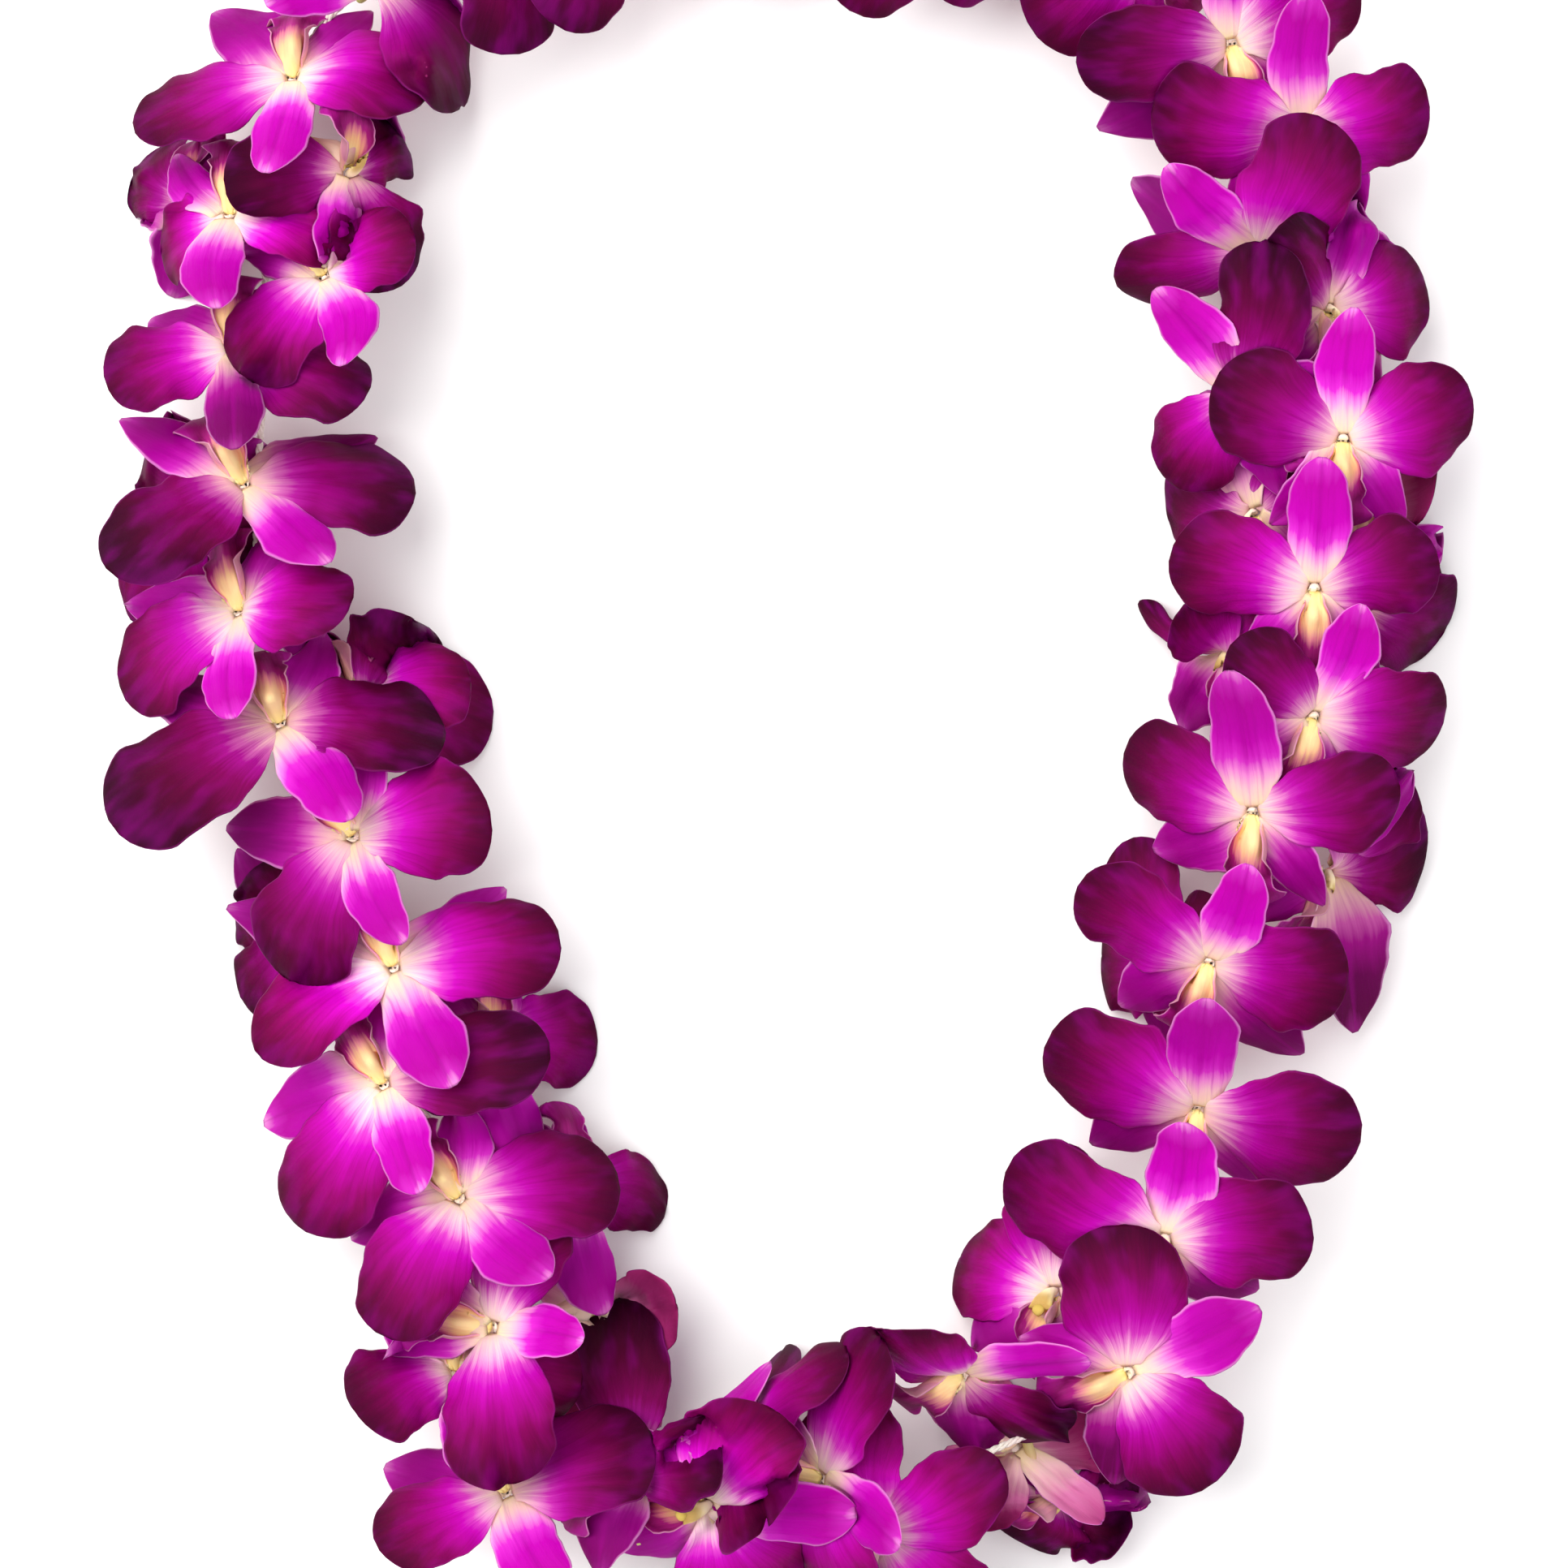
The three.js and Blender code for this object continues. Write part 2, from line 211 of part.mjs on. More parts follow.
function stringTube(radius, sides, phase) {
  const up = new THREE.Vector3(0, 0, 1);
  const rings = stringSections.map((p, i) => {
    const before = stringSections[(i + STRING_STEPS - 1) % STRING_STEPS];
    const after = stringSections[(i + 1) % STRING_STEPS];
    const t = after.clone().sub(before).normalize();
    const side = new THREE.Vector3().crossVectors(t, up).normalize();
    const ring = [];
    for (let k = 0; k < sides; k++) {
      const a = (-(k + phase) / sides) * 2 * Math.PI;
      const q = p
        .clone()
        .addScaledVector(side, Math.cos(a) * radius)
        .addScaledVector(up, Math.sin(a) * radius);
      ring.push([q.x, q.y, q.z]);
    }
    return ring;
  });
  return toSolid(skin(rings, true));
}

// Star-shaped plate of the five tepals: a fan from the face's centre to the outline, given a thickness.
function tepalPlate(tips, grow) {
  const [dorsal, petalL, petalR, sepalL, sepalR] = tips;
  const list = [
    { tip: dorsal, width: DORSAL_WIDTH, broad: false },
    { tip: petalL, width: PETAL_WIDTH, broad: true },
    { tip: sepalL, width: LATERAL_WIDTH, broad: false },
    { tip: sepalR, width: LATERAL_WIDTH, broad: false },
    { tip: petalR, width: PETAL_WIDTH, broad: true },
  ].map((t) => {
    const radius = Math.max(Math.hypot(t.tip[0], t.tip[1]), 9);
    let angle = Math.atan2(t.tip[1], t.tip[0]) - Math.PI / 2;
    if (angle < 0) angle += 2 * Math.PI;
    return { ...t, radius, angle, half: Math.atan2(t.width / 2, 0.66 * radius) };
  });
  list[0].angle = list[0].angle > Math.PI ? list[0].angle - 2 * Math.PI : list[0].angle;
  const ordered = [...list].sort((a, b) => a.angle - b.angle);
  const n = ordered.length;
  for (let pass = 0; pass < 12; pass++)
    for (let i = 0; i < n; i++) {
      const a = ordered[i];
      const b = ordered[(i + 1) % n];
      const gap = b.angle - a.angle + (i === n - 1 ? 2 * Math.PI : 0);
      if (gap < 0.75) {
        a.angle -= (0.75 - gap) / 2;
        b.angle += (0.75 - gap) / 2;
      }
    }
  for (let i = 0; i < n; i++) {
    const a = ordered[i];
    const b = ordered[(i + 1) % n];
    const gap = b.angle - a.angle + (i === n - 1 ? 2 * Math.PI : 0);
    const free = gap - 0.14;
    if (a.half + b.half > free) {
      const k = free / (a.half + b.half);
      a.half *= k;
      b.half *= k;
    }
  }
  const ring = [];
  const put = (angle, radius, z) => {
    const r = radius + grow;
    ring.push([Math.cos(angle + Math.PI / 2) * r, Math.sin(angle + Math.PI / 2) * r, z]);
  };
  for (let i = 0; i < n; i++) {
    const t = ordered[i];
    const z = t.tip[2];
    if (t.broad) {
      put(t.angle - t.half, 0.7 * t.radius, 0.62 * z);
      put(t.angle - 0.45 * t.half, t.radius, z);
      put(t.angle + 0.45 * t.half, t.radius, z);
      put(t.angle + t.half, 0.7 * t.radius, 0.62 * z);
    } else {
      put(t.angle - t.half, 0.55 * t.radius, 0.48 * z);
      put(t.angle, t.radius, z);
      put(t.angle + t.half, 0.55 * t.radius, 0.48 * z);
    }
    const b = ordered[(i + 1) % n];
    const gap = b.angle - t.angle + (i === n - 1 ? 2 * Math.PI : 0);
    put(t.angle + (t.half + gap - b.half) / 2, NOTCH_RADIUS, 0);
  }
  const h = PETAL_THICKNESS / 2 + grow;
  const m = ring.length;
  const points = [];
  for (const [x, y, z] of ring) points.push([x, y, z + h]);
  for (const [x, y, z] of ring) points.push([x, y, z - h]);
  const faces = [];
  const cap = (loop) => {
    for (let i = 1; i + 1 < loop.length; i++) {
      faces.push([loop[0], loop[i], loop[i + 1]]);
      faces.push([loop[0] + m, loop[i + 1] + m, loop[i] + m]);
    }
  };
  let from = m - 1;
  const notches = [];
  for (let i = 0; i < n; i++) {
    const count = ordered[i].broad ? 4 : 3;
    const start = i === 0 ? 0 : from + 1;
    const blade = [from];
    for (let k = 0; k <= count; k++) blade.push(start + k);
    // the blade is skinned as strips across it, so that it bends along its length
    const outer = blade.slice();
    while (outer.length > 2) {
      const a = outer[0];
      const z = outer[outer.length - 1];
      if (outer.length === 3) {
        cap([a, outer[1], z]);
        break;
      }
      cap([a, outer[1], outer[outer.length - 2], z]);
      outer.shift();
      outer.pop();
    }
    from = start + count;
    notches.push(from);
  }
  cap([notches[n - 1], ...notches.slice(0, n - 1)]);
  for (let i = 0; i < m; i++) {
    const j = (i + 1) % m;
    faces.push([i, i + m, j + m], [i, j + m, j]);
  }
  return closedGeometry(points, faces);
}

// Chin, throat and lip: one tapered body from under the string up through the face.
function throat(stringPoint, lipTip, grow) {
  const s = new THREE.Vector3(...stringPoint);
  const away = s.clone().normalize();
  const stations = [
    [s.clone().addScaledVector(away, 2.8 + grow), CHIN_RADIUS + grow],
    [new THREE.Vector3(0, 0, 0.6), THROAT_RADIUS + grow],
    [new THREE.Vector3(...lipTip).multiplyScalar(0.9), LIP_RADIUS + grow],
  ];
  const rings = stations.map(([p, r], i) => {
    const a = stations[Math.max(i - 1, 0)][0];
    const b = stations[Math.min(i + 1, stations.length - 1)][0];
    const t = b.clone().sub(a).normalize();
    const x = new THREE.Vector3(1, 0, 0).addScaledVector(t, -t.x).normalize();
    const y = new THREE.Vector3().crossVectors(t, x);
    const ring = [];
    for (let k = 0; k < THROAT_SIDES; k++) {
      const angle = (k / THROAT_SIDES) * 2 * Math.PI;
      const q = p
        .clone()
        .addScaledVector(x, Math.cos(angle) * r)
        .addScaledVector(y, Math.sin(angle) * r);
      ring.push([q.x, q.y, q.z]);
    }
    return ring;
  });
  return skin(rings, false);
}

function blossomSolid(row, grow) {
  const [, centre, turn, tips, threaded] = row;
  const q = new THREE.Quaternion(...turn).normalize();
  const c = new THREE.Vector3(...centre);
  const matrix = new THREE.Matrix4().compose(c, q, new THREE.Vector3(1, 1, 1));
  const local = new THREE.Vector3(...threaded).applyMatrix4(matrix.clone().invert());
  const plate = tepalPlate(tips.slice(0, 5), grow).applyMatrix4(matrix);
  const body = throat(local.toArray(), tips[5], grow).applyMatrix4(matrix);
  return [toSolid(plate).add(toSolid(body)), matrix];
}

function largest(solid) {
  const bodies = solid.decompose();
  bodies.sort((a, b) => b.volume() - a.volume());
  return bodies[0];
}

const surface = toSolid(new THREE.BoxGeometry(600, 600, 60).translate(0, 0, -30));
const bore = stringTube((STRING_DIAMETER / 2 + GAP) * Math.SQRT2, 4, 0.5);

// ---------- the assembly ----------
const lei = new THREE.Group();
lei.name = "flower_lei";

const cottonString = new THREE.MeshStandardMaterial({
  name: "cotton_string",
  color: 0xe9e2d2,
  roughness: 0.9,
  metalness: 0,
});
const frontPetal = new THREE.MeshStandardMaterial({
  name: "orchid_petal",
  color: 0xa8109a,
  roughness: 0.55,
  metalness: 0,
});
const sidePetal = new THREE.MeshStandardMaterial({
  name: "orchid_petal_side",
  color: 0x6d0a5c,
  roughness: 0.6,
  metalness: 0,
});

const knotCentre = stringSections[KNOT_AT];
const knot = toSolid(
  new THREE.IcosahedronGeometry(KNOT_RADIUS, 0).translate(knotCentre.x, knotCentre.y, knotCentre.z),
);
const stringSolid = stringTube(STRING_DIAMETER / 2, STRING_SIDES, 0).add(knot);
const stringMesh = new THREE.Mesh(toGeometry(stringSolid), cottonString);
stringMesh.name = "string";
lei.add(stringMesh);
const knotRoom = toSolid(
  new THREE.IcosahedronGeometry(KNOT_RADIUS + 0.6, 0).translate(
    knotCentre.x,
    knotCentre.y,
    knotCentre.z,
  ),
);

// where a steep blade's grown copy is too thin, the neighbour itself is moved each way by the gap instead
const SHIFTS = [
  [0, 0, 0],
  [0, 0, GAP],
  [0, 0, -GAP],
  [GAP, 0, 0],
  [-GAP, 0, 0],
  [0, GAP, 0],
  [0, -GAP, 0],
];
const placed = [];
const order = [...BLOSSOMS].sort((a, b) => (a[0] < b[0] ? -1 : 1));
for (const row of order) {
  const [made, matrix] = blossomSolid(row, 0);
  const [roomy] = blossomSolid(row, GAP);
  let solid = made.subtract(bore).subtract(surface).subtract(knotRoom);
  for (const other of placed) {
    if (solid.intersect(other.roomy).volume() > 0) solid = solid.subtract(other.roomy);
    if (solid.intersect(other.body).volume() > 0)
      for (const shift of SHIFTS) solid = solid.subtract(other.body.translate(shift));
  }
  solid = largest(solid);
  placed.push({ roomy, body: solid });
  const g = toGeometry(solid).applyMatrix4(matrix.clone().invert());
  g.computeVertexNormals();
  const mesh = new THREE.Mesh(g, row[0].startsWith("front") ? frontPetal : sidePetal);
  mesh.name = row[0];
  matrix.decompose(mesh.position, mesh.quaternion, mesh.scale);
  lei.add(mesh);
}

export default lei;
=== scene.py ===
"""Dendrobium orchid lei: the looks of each blossom and of the string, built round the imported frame."""

import math

import bpy
import numpy as np
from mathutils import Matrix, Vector


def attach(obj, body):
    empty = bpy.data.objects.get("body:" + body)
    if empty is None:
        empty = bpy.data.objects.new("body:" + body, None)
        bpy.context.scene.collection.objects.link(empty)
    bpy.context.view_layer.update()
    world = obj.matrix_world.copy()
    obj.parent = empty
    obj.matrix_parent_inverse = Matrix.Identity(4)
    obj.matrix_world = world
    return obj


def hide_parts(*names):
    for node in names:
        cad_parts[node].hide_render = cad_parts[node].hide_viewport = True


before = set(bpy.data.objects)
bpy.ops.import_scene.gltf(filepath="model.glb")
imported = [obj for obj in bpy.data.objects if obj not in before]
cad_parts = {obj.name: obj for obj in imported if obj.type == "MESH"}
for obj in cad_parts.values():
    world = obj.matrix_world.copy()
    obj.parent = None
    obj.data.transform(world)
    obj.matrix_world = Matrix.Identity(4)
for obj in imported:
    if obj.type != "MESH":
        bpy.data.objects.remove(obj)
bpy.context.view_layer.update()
scene = bpy.context.scene
MM = 0.001

# ---------------------------------------------------------------- camera, light and floor

camera_data = bpy.data.cameras.new("camera")
camera = bpy.data.objects.new("camera", camera_data)
scene.collection.objects.link(camera)
scene.camera = camera
camera_data.sensor_width = 36.0
camera_data.lens = 100.0
VIEW_WIDTH = 0.3331  # metres seen across the picture at the height of the blossoms
FOCUS_HEIGHT = 0.032
camera_data.clip_start, camera_data.clip_end = 0.05, 20.0
camera.location = (
    -0.001525,
    -0.022317,
    FOCUS_HEIGHT + VIEW_WIDTH / 2 / (camera_data.sensor_width / 2 / camera_data.lens),
)
camera.rotation_euler = (0.0, 0.0, 0.0)

scene.view_settings.view_transform = "Standard"
scene.view_settings.look = "None"
scene.view_settings.exposure = 0.0
scene.view_settings.gamma = 1.0

world = bpy.data.worlds.new("studio")
scene.world = world
world.use_nodes = True
world.node_tree.nodes["Background"].inputs["Color"].default_value = (1, 1, 1, 1)
world.node_tree.nodes["Background"].inputs["Strength"].default_value = WORLD_STRENGTH = 0.72


def area_light(name, place, target, size, power, colour=(1, 1, 1)):
    data = bpy.data.lights.new(name, "AREA")
    data.shape = "DISK"
    data.size = size
    data.energy = power
    data.color = colour
    light = bpy.data.objects.new(name, data)
    scene.collection.objects.link(light)
    light.location = place
    away = Vector(place) - Vector(target)
    light.rotation_euler = away.to_track_quat("Z", "Y").to_euler()
    return light


area_light("key", (-0.75, 0.55, 1.35), (0, -0.02, 0.02), 1.7, 35.0, (1.0, 0.99, 0.97))
area_light("fill", (0.7, -0.45, 1.2), (0, 0, 0.02), 1.4, 7.0, (0.97, 0.98, 1.0))


def node_material(name):
    material = bpy.data.materials.new(name)
    material.use_nodes = True
    tree = material.node_tree
    return material, tree, tree.nodes["Principled BSDF"]


class Graph:
    """Short names for building a material's nodes."""

    def __init__(self, tree):
        self.tree = tree

    def put(self, node, socket, value):
        if value is None:
            return
        if isinstance(value, bpy.types.NodeSocket):
            self.tree.links.new(value, node.inputs[socket])
        else:
            node.inputs[socket].default_value = value

    def attribute(self, name):
        node = self.tree.nodes.new("ShaderNodeAttribute")
        node.attribute_name = name
        return node.outputs["Vector"]

    def split(self, vector):
        node = self.tree.nodes.new("ShaderNodeSeparateXYZ")
        self.put(node, 0, vector)
        return node.outputs[0], node.outputs[1], node.outputs[2]

    def join(self, x, y, z):
        node = self.tree.nodes.new("ShaderNodeCombineXYZ")
        for i, v in enumerate((x, y, z)):
            self.put(node, i, v)
        return node.outputs[0]

    def math(self, what, a, b=None, c=None, clamp=False):
        node = self.tree.nodes.new("ShaderNodeMath")
        node.operation = what
        node.use_clamp = clamp
        for i, v in enumerate((a, b, c)):
            self.put(node, i, v)
        return node.outputs[0]

    def mix(self, share, a, b, blend="MIX"):
        node = self.tree.nodes.new("ShaderNodeMix")
        node.data_type = "RGBA"
        node.blend_type = blend
        node.clamp_factor = True
        self.put(node, 0, share)
        self.put(node, 6, a)
        self.put(node, 7, b)
        return node.outputs[2]

    def ramp(self, share, stops, how="EASE"):
        node = self.tree.nodes.new("ShaderNodeValToRGB")
        node.color_ramp.interpolation = how
        points = node.color_ramp.elements
        while len(points) < len(stops):
            points.new(0.5)
        for point, (at, colour) in zip(points, stops):
            point.position = at
            point.color = (*colour, 1.0)
        self.put(node, 0, share)
        return node.outputs[0]

    def smooth(self, value, low, high, to_low=0.0, to_high=1.0):
        node = self.tree.nodes.new("ShaderNodeMapRange")
        node.interpolation_type = "SMOOTHSTEP"
        for i, v in enumerate((value, low, high, to_low, to_high)):
            self.put(node, i, v)
        return node.outputs[0]

    def noise(self, vector, scale, detail=2.0, rough=0.5):
        node = self.tree.nodes.new("ShaderNodeTexNoise")
        self.put(node, "Vector", vector)
        node.inputs["Scale"].default_value = scale
        node.inputs["Detail"].default_value = detail
        node.inputs["Roughness"].default_value = rough
        return node.outputs[0]

    def bump(self, height, strength, distance):
        node = self.tree.nodes.new("ShaderNodeBump")
        node.inputs["Strength"].default_value = strength
        node.inputs["Distance"].default_value = distance
        self.put(node, "Height", height)
        return node.outputs[0]


# the floor: one plain pale sheet
floor_mesh = bpy.data.meshes.new("floor")
floor_mesh.from_pydata(
    [(-3, -3, 0), (3, -3, 0), (3, 3, 0), (-3, 3, 0)], [], [(0, 1, 2, 3)]
)
floor = bpy.data.objects.new("floor", floor_mesh)
scene.collection.objects.link(floor)
floor_material, floor_tree, floor_shader = node_material("floor_paper")
g = Graph(floor_tree)
grain = g.noise(None, 220.0, 2.0)
floor_tree.links.new(
    g.mix(grain, (0.93, 0.93, 0.93, 1), (0.96, 0.96, 0.96, 1)),
    floor_shader.inputs["Base Color"],
)
floor_shader.inputs["Roughness"].default_value = 0.9
floor_shader.inputs["Specular IOR Level"].default_value = 0.1
floor_mesh.materials.append(floor_material)

# ---------------------------------------------------------------- where the blossoms are

STRING_HEIGHT = 21.0
STRING_POINTS = [
    (-109.80, 123.55), (-113.09, 103.76), (-113.03, 83.65), (-113.25, 63.55), (-114.67, 43.49), (-114.72, 23.39),
    (-111.68, 3.53), (-105.75, -15.67), (-97.94, -34.20), (-90.08, -52.70), (-85.02, -72.16), (-79.16, -91.38),
    (-72.18, -110.25), (-66.11, -129.42), (-61.09, -148.89), (-52.90, -167.16), (-36.84, -178.56), (-16.96, -181.26),
    (3.07, -179.83), (22.42, -174.51), (40.93, -166.63), (58.69, -157.38), (71.27, -141.86), (78.11, -123.00),
    (82.70, -103.42), (86.77, -83.73), (90.21, -63.91), (95.93, -44.65), (102.95, -25.80), (108.37, -6.46),
    (110.92, 13.48), (112.79, 33.51), (113.75, 53.59), (112.57, 73.65), (109.71, 93.56), (106.55, 113.41),
    (99.11, 132.01), (86.83, 147.88), (70.86, 159.99), (52.33, 167.70), (32.71, 172.06), (12.69, 173.91),
    (-7.41, 173.74), (-27.41, 171.70), (-47.10, 167.63), (-66.30, 161.68), (-84.63, 153.45), (-100.44, 141.19),
]

# CAD node, centre of the blossom (mm), turn (quaternion x, y, z, w), tips in the blossom's own frame
# (dorsal sepal, left petal, right petal, left sepal, right sepal, lip), where the string goes through (mm),
# and its place along the string (mm).
BLOSSOMS = [
    ["side_blossom_01", [-93.94, 108.37, 22.0], [0.3776, -0.2136, 0.8894, -0.1445], [[0.2, 23.5, 11.7], [-22.0, 3.4, -4.2], [26.6, -4.1, -8.9], [-12.5, -17.0, -1.3], [12.2, 16.1, 3.9], [0.0, -11.6, 8.1]], [-112.25, 112.56, 21.0], 13.3],
    ["side_blossom_02", [-131.18, 104.23, 14.7], [-0.5048, -0.0213, 0.8161, 0.2805], [[2.4, 22.5, -6.9], [-19.3, 10.4, -4.2], [19.0, 2.6, 6.9], [-8.8, -17.0, -4.7], [14.1, -19.1, -1.5], [0.0, -13.1, 9.0]], [-113.18, 101.66, 21.0], 20.5],
    ["front_blossom_01", [-119.8, 99.75, 29.86], [-0.0114, 0.279, 0.9601, 0.0151], [[-0.1, 26.4, 2.3], [-25.8, 7.3, 0.7], [17.3, 2.3, -11.3], [-13.7, -18.6, -1.5], [13.7, -18.6, -1.5], [0.0, -12.7, 8.8]], [-113.25, 94.91, 21.0], 24.2],
    ["front_blossom_02", [-99.97, 86.48, 30.22], [-0.0888, 0.2303, 0.936, -0.2509], [[4.8, 25.6, 2.9], [-21.3, 4.0, 2.9], [25.1, 11.1, -1.5], [-13.6, -18.5, -1.5], [13.6, -18.5, -1.5], [-0.0, -12.7, 8.8]], [-113.01, 82.68, 21.0], 37.7],
    ["front_blossom_03", [-118.94, 70.96, 30.08], [0.0235, 0.2594, 0.9648, -0.0361], [[0.0, 27.2, 2.0], [-28.2, 11.5, -1.6], [26.8, 7.3, 0.8], [-13.8, -18.8, -1.5], [13.8, -18.8, -1.5], [-0.0, -12.9, 8.9]], [-113.13, 66.27, 21.0], 53.1],
    ["front_blossom_04", [-116.7, 42.17, 29.22], [0.1282, 0.3033, 0.9114, -0.2468], [[-4.0, 30.2, 4.2], [-33.8, 14.5, -1.6], [34.6, 7.1, -0.5], [-15.4, -20.9, -1.7], [15.3, -27.1, 2.2], [0.0, -14.3, 9.9]], [-114.97, 36.56, 21.0], 82.0],
    ["side_blossom_03", [-127.56, 40.79, 14.0], [-0.4981, -0.0331, 0.8319, 0.2424], [[0.0, 28.0, 2.0], [-19.8, 10.2, -4.2], [17.8, 7.8, 8.9], [-9.7, -17.7, -4.3], [14.2, -19.3, -1.5], [-0.0, -13.2, 9.2]], [-114.89, 38.97, 21.0], 83.7],
    ["front_blossom_05", [-118.08, 14.92, 29.11], [-0.2274, 0.2496, 0.9334, -0.1215], [[1.6, 27.7, 3.0], [-26.6, 8.6, 0.8], [30.4, 8.6, 1.0], [-14.3, -19.3, -1.5], [28.2, -13.3, 1.0], [0.0, -13.2, 9.2]], [-113.25, 11.24, 21.0], 108.5],
    ["side_blossom_04", [-92.22, -2.32, 17.0], [0.5152, 0.4267, 0.7368, -0.0974], [[-5.9, 24.3, 1.3], [-26.3, 11.1, 13.0], [4.5, 4.2, 19.2], [-2.9, -23.9, 0.2], [14.3, -19.4, -1.5], [0.0, -13.3, 9.2]], [-107.12, -11.91, 21.0], 132.1],
    ["front_blossom_06", [-108.94, -8.87, 29.66], [0.0535, 0.2915, 0.9409, -0.1639], [[-6.3, 30.7, 4.0], [-32.6, 13.3, -2.0], [40.1, 11.1, -3.0], [-15.8, -21.4, -1.7], [15.8, -21.4, -1.7], [0.0, -14.7, 10.2]], [-106.69, -13.13, 21.0], 133.3],
    ["front_blossom_07", [-93.42, -33.35, 31.01], [-0.1065, 0.1105, 0.9461, -0.2851], [[1.6, 27.0, 2.7], [-27.1, 14.4, -0.8], [28.7, 17.3, -1.8], [-14.4, -19.6, -1.5], [14.4, -19.6, -1.5], [0.0, -13.4, 9.3]], [-96.5, -37.3, 21.0], 162.0],
    ["side_blossom_05", [-105.15, -55.77, 14.0], [-0.4904, 0.0077, 0.8456, 0.2109], [[11.2, 20.9, 3.7], [-18.5, 9.3, -5.0], [20.9, -0.8, 10.5], [-11.1, -18.5, -3.5], [21.0, -9.6, 13.1], [0.0, -13.2, 9.1]], [-89.29, -55.18, 21.0], 178.6],
    ["front_blossom_08", [-84.8, -60.94, 30.41], [0.0139, 0.2275, 0.9527, -0.2011], [[-1.7, 31.4, 1.8], [-34.7, 8.3, 1.4], [33.2, 6.5, 1.3], [-15.4, -20.8, -1.6], [15.4, -20.8, -1.6], [-0.0, -14.3, 9.9]], [-86.63, -65.45, 21.0], 190.2],
    ["side_blossom_06", [-64.63, -78.18, 15.0], [0.415, 0.0772, 0.8978, -0.1259], [[-0.0, 28.2, 2.1], [-24.1, 7.8, 7.5], [18.8, 6.8, -7.2], [-14.4, -19.5, -1.5], [14.4, -19.5, -1.5], [0.0, -13.3, 9.2]], [-81.75, -83.64, 21.0], 213.1],
    ["front_blossom_09", [-87.04, -85.94, 30.5], [-0.1012, 0.1937, 0.9383, -0.2679], [[3.2, 26.8, 3.8], [-34.5, 13.2, -2.0], [31.9, 15.2, -2.3], [-15.1, -20.5, -1.6], [24.6, -15.0, -3.2], [0.0, -14.0, 9.7]], [-80.51, -87.47, 21.0], 213.5],
    ["front_blossom_10", [-70.66, -110.08, 30.25], [0.0958, 0.2246, 0.9144, -0.3227], [[-2.7, 27.8, 3.6], [-30.3, 16.7, -2.3], [30.4, 13.5, -1.7], [-14.8, -20.0, -1.6], [18.1, -16.1, -4.4], [0.0, -13.7, 9.5]], [-70.78, -114.24, 21.0], 241.7],
    ["side_blossom_07", [-47.39, -110.08, 16.0], [0.3986, 0.0969, 0.9091, -0.0719], [[0.0, 27.7, 2.0], [-24.4, 7.9, 5.0], [18.3, 5.5, -7.7], [-10.8, -18.4, -5.3], [14.1, -19.1, -1.5], [1.9, -12.7, 6.9]], [-69.71, -117.45, 21.0], 249.0],
    ["front_blossom_11", [-63.77, -137.66, 30.45], [-0.0198, 0.2222, 0.7301, -0.6459], [[1.2, 24.0, 6.4], [-27.8, 7.0, 1.0], [32.2, 8.2, -0.7], [-14.0, -19.0, -1.5], [8.1, -22.6, 1.6], [-0.0, -13.0, 9.0]], [-63.19, -140.97, 21.0], 270.1],
    ["side_blossom_08", [-42.22, -138.52, 12.0], [0.8703, 0.2522, 0.4193, -0.0569], [[-0.0, 27.4, 2.0], [-23.7, 11.7, -10.7], [21.3, 5.8, 6.0], [-12.6, -19.6, -3.3], [13.9, -18.9, -1.5], [0.0, -12.9, 9.0]], [-62.19, -144.87, 21.0], 276.1],
    ["front_blossom_12", [-71.53, -147.14, 29.82], [0.034, 0.2812, 0.9566, -0.0682], [[0.0, 25.9, 1.9], [-26.1, 6.6, 0.9], [21.9, 8.9, 6.0], [-13.2, -17.9, -1.4], [13.2, -17.9, -1.4], [-0.0, -12.2, 8.5]], [-61.07, -148.93, 21.0], 277.3],
    ["front_blossom_13", [-60.84, -172.66, 29.0], [0.0011, 0.3449, 0.9111, -0.2256], [[-0.7, 29.6, 1.3], [-32.4, 5.2, 3.5], [28.7, 0.6, 6.5], [-14.5, -19.7, -1.6], [14.5, -19.7, -1.6], [0.0, -13.5, 9.3]], [-50.59, -169.84, 21.0], 301.6],
    ["side_blossom_09", [-34.46, -168.7, 19.0], [-0.2309, -0.3107, -0.371, 0.8441], [[2.5, 37.4, 1.7], [-31.2, 19.6, 10.9], [19.8, 16.5, 12.1], [-14.5, -19.7, -1.6], [14.5, -19.7, -1.6], [-0.0, -13.5, 9.3]], [-32.48, -179.8, 21.0], 321.0],
    ["front_blossom_14", [-18.08, -176.11, 30.24], [-0.2013, -0.1399, 0.6951, -0.6759], [[-1.5, 32.1, 1.0], [-25.9, 14.8, 2.0], [28.8, 14.0, 0.3], [-14.6, -19.8, -1.6], [14.6, -19.8, -1.6], [0.0, -13.6, 9.4]], [-17.39, -181.25, 21.0], 340.7],
    ["front_blossom_15", [-12.04, -164.39, 27.3], [-0.069, -0.5144, -0.4616, 0.7194], [[-3.3, 34.0, 3.6], [-27.0, 10.1, -4.8], [29.1, 7.3, 1.0], [-14.6, -19.9, -1.6], [14.6, -19.9, -1.6], [0.0, -13.6, 9.4]], [-4.98, -180.83, 21.0], 347.4],
    ["front_blossom_16", [5.72, -170.42, 28.33], [-0.3383, 0.191, 0.7103, -0.587], [[3.8, 27.5, 5.0], [-35.0, 8.8, -2.3], [28.9, 11.0, -2.6], [-14.8, -20.1, -1.6], [14.8, -20.1, -1.6], [0.0, -13.7, 9.5]], [14.39, -177.19, 21.0], 366.4],
